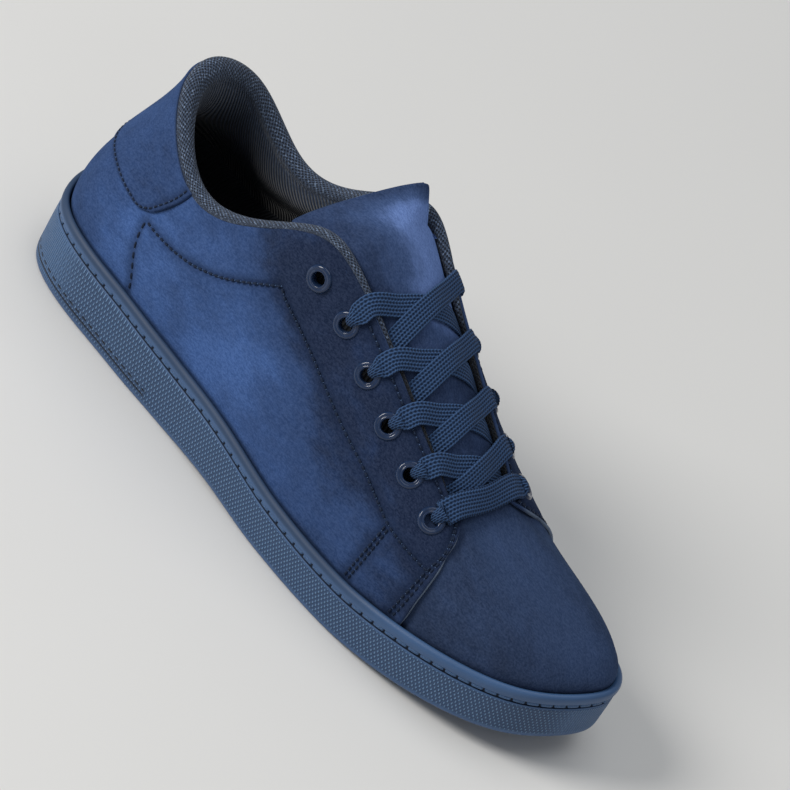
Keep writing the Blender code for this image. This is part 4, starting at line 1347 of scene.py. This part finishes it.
# ---------------------------------------------------------------- laces
# One flat woven polyester lace with lengthwise ribs. Its bar lies over the vamp between the
# last eyelets; from there it crosses up the throat, out from under each facing and down
# into the next eyelet opposite. It ends inside, under the second eyelets.

LACE_WIDTH = 8.2 * MM
BAR_WIDTH = 9.4 * MM
LACE_THICKNESS = 1.4 * MM
OVER_SUEDE = 1.55 * MM
UNDER_FACING = 2.9 * MM
facing_rings = np.linspace(2.2, 8.6, 320)
facing_edges = edge_curve(facing_rings)


def facing_ring(x):
    """Ring number at which the facing's edge lies at a place along the shoe."""
    return np.interp(-x, -facing_edges[:, 0], facing_rings)


def facing_half(x):
    return np.interp(facing_ring(x), facing_rings, np.abs(facing_edges[:, 1] + middle[1]))


def over_tongue(x, y):
    """Height of the tongue's face between the facings."""
    ring = facing_ring(x)
    q = np.clip((y + middle[1]) / facing_half(x), -1, 1)
    return edge_curve(ring)[2] - WALL - TONGUE_ROOM + tongue_crown(ring) * (1 - q * q)


def laid_on_tongue(start, end, share, raised):
    """A point of the lace lying on the tongue on the straight way between two eyelets."""
    x, y = (start + (end - start) * share)[:2]
    small = 1.0 * MM
    slope_x = (over_tongue(x + small, y) - over_tongue(x - small, y)) / (2 * small)
    slope_y = (over_tongue(x, y + small) - over_tongue(x, y - small)) / (2 * small)
    normal = directions(np.array((-slope_x, -slope_y, 1.0)))
    point = np.array((x, y, over_tongue(x, y))) + normal * (LACE_THICKNESS / 2 + 0.15 * MM + raised)
    return point, normal


def edge_share(start, end, side):
    """Share of the straight way between two eyelets at which it passes a facing's edge."""
    shares = np.linspace(0, 1, 600)
    x, y = (start + (end - start) * shares[:, None])[:, :2].T
    return shares[np.argmin(np.abs(side * (y + middle[1]) - facing_half(x)))]


def facing_edge(start, end, side):
    """Point and normal of the facing's edge where the way between two eyelets passes it."""
    x = (start + (end - start) * edge_share(start, end, side))[0]
    ring = on_side(facing_ring(x), side)
    return skin(ring, 1.0), skin_normal(ring, 0.98)


def into_eyelet(start, end, side, number, raised):
    """The lace from the facing's edge over the flange and down into an eyelet's hole."""
    seat = seats[side, number]
    centre, normal = np.array(seat.translation), np.array(seat.col[2][:3])
    edge, edge_normal = facing_edge(start, end, side)
    back = edge - centre
    back = directions(back - normal * (back @ normal))
    bent = directions(edge_normal + normal * 0.4 + np.array((0.0, 0.0, 0.3)))
    half_way = (edge + centre) / 2
    return [
        (edge + bent * (OVER_SUEDE + raised), bent),
        (half_way + normal * (OVER_SUEDE + 0.3 * MM + raised / 2), normal),
        (centre + back * 4.8 * MM + normal * 1.85 * MM, normal),
        (centre + back * 2.9 * MM + normal * 1.55 * MM, directions(normal * 0.9 - back * 0.4)),
        (centre + back * 1.5 * MM + normal * 0.1 * MM, directions(normal * 0.4 - back * 0.9)),
        (centre + back * 1.2 * MM - normal * 3.0 * MM, -back),
    ]


def crossing_route(number, side):
    """From under one facing to the next higher eyelet of the other, over or under its twin."""
    start = np.array(seats[-side, number].translation)
    end = np.array(seats[side, number - 1].translation)
    first, last = edge_share(start, end, -side), edge_share(start, end, side)
    edge, normal = facing_edge(start, end, -side)
    hidden = edge + (start - edge) * 0.5
    route = [(hidden - normal * UNDER_FACING, normal), (edge - normal * UNDER_FACING, normal)]
    over_twin = 1.5 * MM if side > 0 else 0.0
    for share, lift in ((0.25, 0.3), (0.5, 1.0), (0.75, 0.7)):
        route.append(laid_on_tongue(start, end, first + (last - first) * share, over_twin * lift))
    return route + into_eyelet(start, end, side, number - 1, 0.2 * MM if side > 0 else 0.0)


def bar_route():
    """Straight across between the two lowest eyelets, over everything else."""
    start, end = (np.array(seats[side, 6].translation) for side in (-1, 1))
    route = into_eyelet(start, end, -1, 6, 0.5 * MM)[::-1]
    route.append(laid_on_tongue(start, end, 0.5, 2.0 * MM))
    return route + into_eyelet(start, end, 1, 6, 0.5 * MM)


def lace_band(builder, route, width, both_ends=False):
    """Woven band along a route of points and normals, squeezed where it enters an eyelet."""
    points = np.array([point for point, _ in route])
    normals = np.array([normal for _, normal in route])
    run = run_along(points)
    curves = [open_curve(run, column) for column in np.column_stack([points, normals]).T]

    def at(run_at):
        values = np.stack([curve(run_at) for curve in curves], -1)
        return values[:, :3], values[:, 3:]

    def round_section(v):
        angle = v * TURN
        across = np.sign(np.cos(angle)) * np.abs(np.cos(angle)) ** 0.75
        return across, np.sign(np.sin(angle)) * np.abs(np.sin(angle)) ** 0.55

    def place(u, v):
        run_at = u * run[-1]
        point, normal = at(run_at)
        ahead, _ = at(np.clip(run_at + 0.2 * MM, 0, run[-1]))
        behind, _ = at(np.clip(run_at - 0.2 * MM, 0, run[-1]))
        tangent = directions(ahead - behind)
        sideways = directions(np.cross(normal, tangent))
        normal = np.cross(tangent, sideways)
        into = smooth_step((run_at - run[-1] + 9.5 * MM) / (4.5 * MM))
        if both_ends:
            into = np.maximum(into, smooth_step((9.5 * MM - run_at) / (4.5 * MM)))
        across, height = round_section(v)
        ribs = 1 + 0.08 * np.cos(across * math.pi * 6)
        thick = LACE_THICKNESS / 2 * ribs * (1 + 0.25 * into)
        cup = -into * 1.1 * MM * (across * across - 0.3)
        half_width = width / 2 * (1 - 0.42 * into)
        return (point + sideways * (across * half_width)[:, None]
                + normal * (height * thick + cup)[:, None])

    def measure(u, v):
        return u * run[-1], round_section(v)[0] * width / 2

    sheet(builder, 120, 48, place, measure)


def lace_finish():
    made = Finish("woven_lace", Roughness=0.8, Specular_IOR_Level=0.12, Sheen_Weight=0.03)
    along, across = made.lengths()
    rib_pitch, pick_pitch = 1.25 * MM, 1.3 * MM
    rib = made.ridges(across, rib_pitch)
    slant = made.sine(across * (TURN / (2 * rib_pitch))) * 1.7
    weave = made.ridges(along + slant * (pick_pitch / TURN), pick_pitch)
    fibre = made.noise(2200.0, 2.0)
    height = weave * 0.4 + rib * 0.6
    # Painted light and shade: crowns of the ribs and picks lighter, the valleys between them darker, mixed
    # with the fibre's own random tone.
    tone = made.smooth(height + (fibre - 0.5) * 0.30, 0.08, 0.80)
    made.colour(made.blend(rgb(0.006, 0.015, 0.040), rgb(0.042, 0.090, 0.200), tone))
    made.bump(height, 0.0006)
    return made


lace = lace_finish()
builder = bmesh.new()
lace_band(builder, bar_route(), BAR_WIDTH, both_ends=True)
for number in range(len(seat_rings), 2, -1):
    for side in (-1, 1):
        lace_band(builder, crossing_route(number, side), LACE_WIDTH)
bmesh.ops.remove_doubles(builder, verts=builder.verts, dist=0.00001)
bmesh.ops.recalc_face_normals(builder, faces=builder.faces)
piece("lace_run", builder, [lace], ["laces"])


# ---------------------------------------------------------------- insole
# Footbed board with a glued textile sock, lying in the cup. Its CAD solid is right and only
# gets its cloth.

sock = Finish("sock_cloth", Roughness=0.95)
threads = sock.noise(1400.0, 2.0)
sock.colour(sock.blend(rgb(0.012, 0.016, 0.026), rgb(0.034, 0.042, 0.060), threads))
sock.bump(threads, 0.0003)
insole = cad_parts["insole"]
insole.data.materials.clear()
insole.data.materials.append(sock.material)
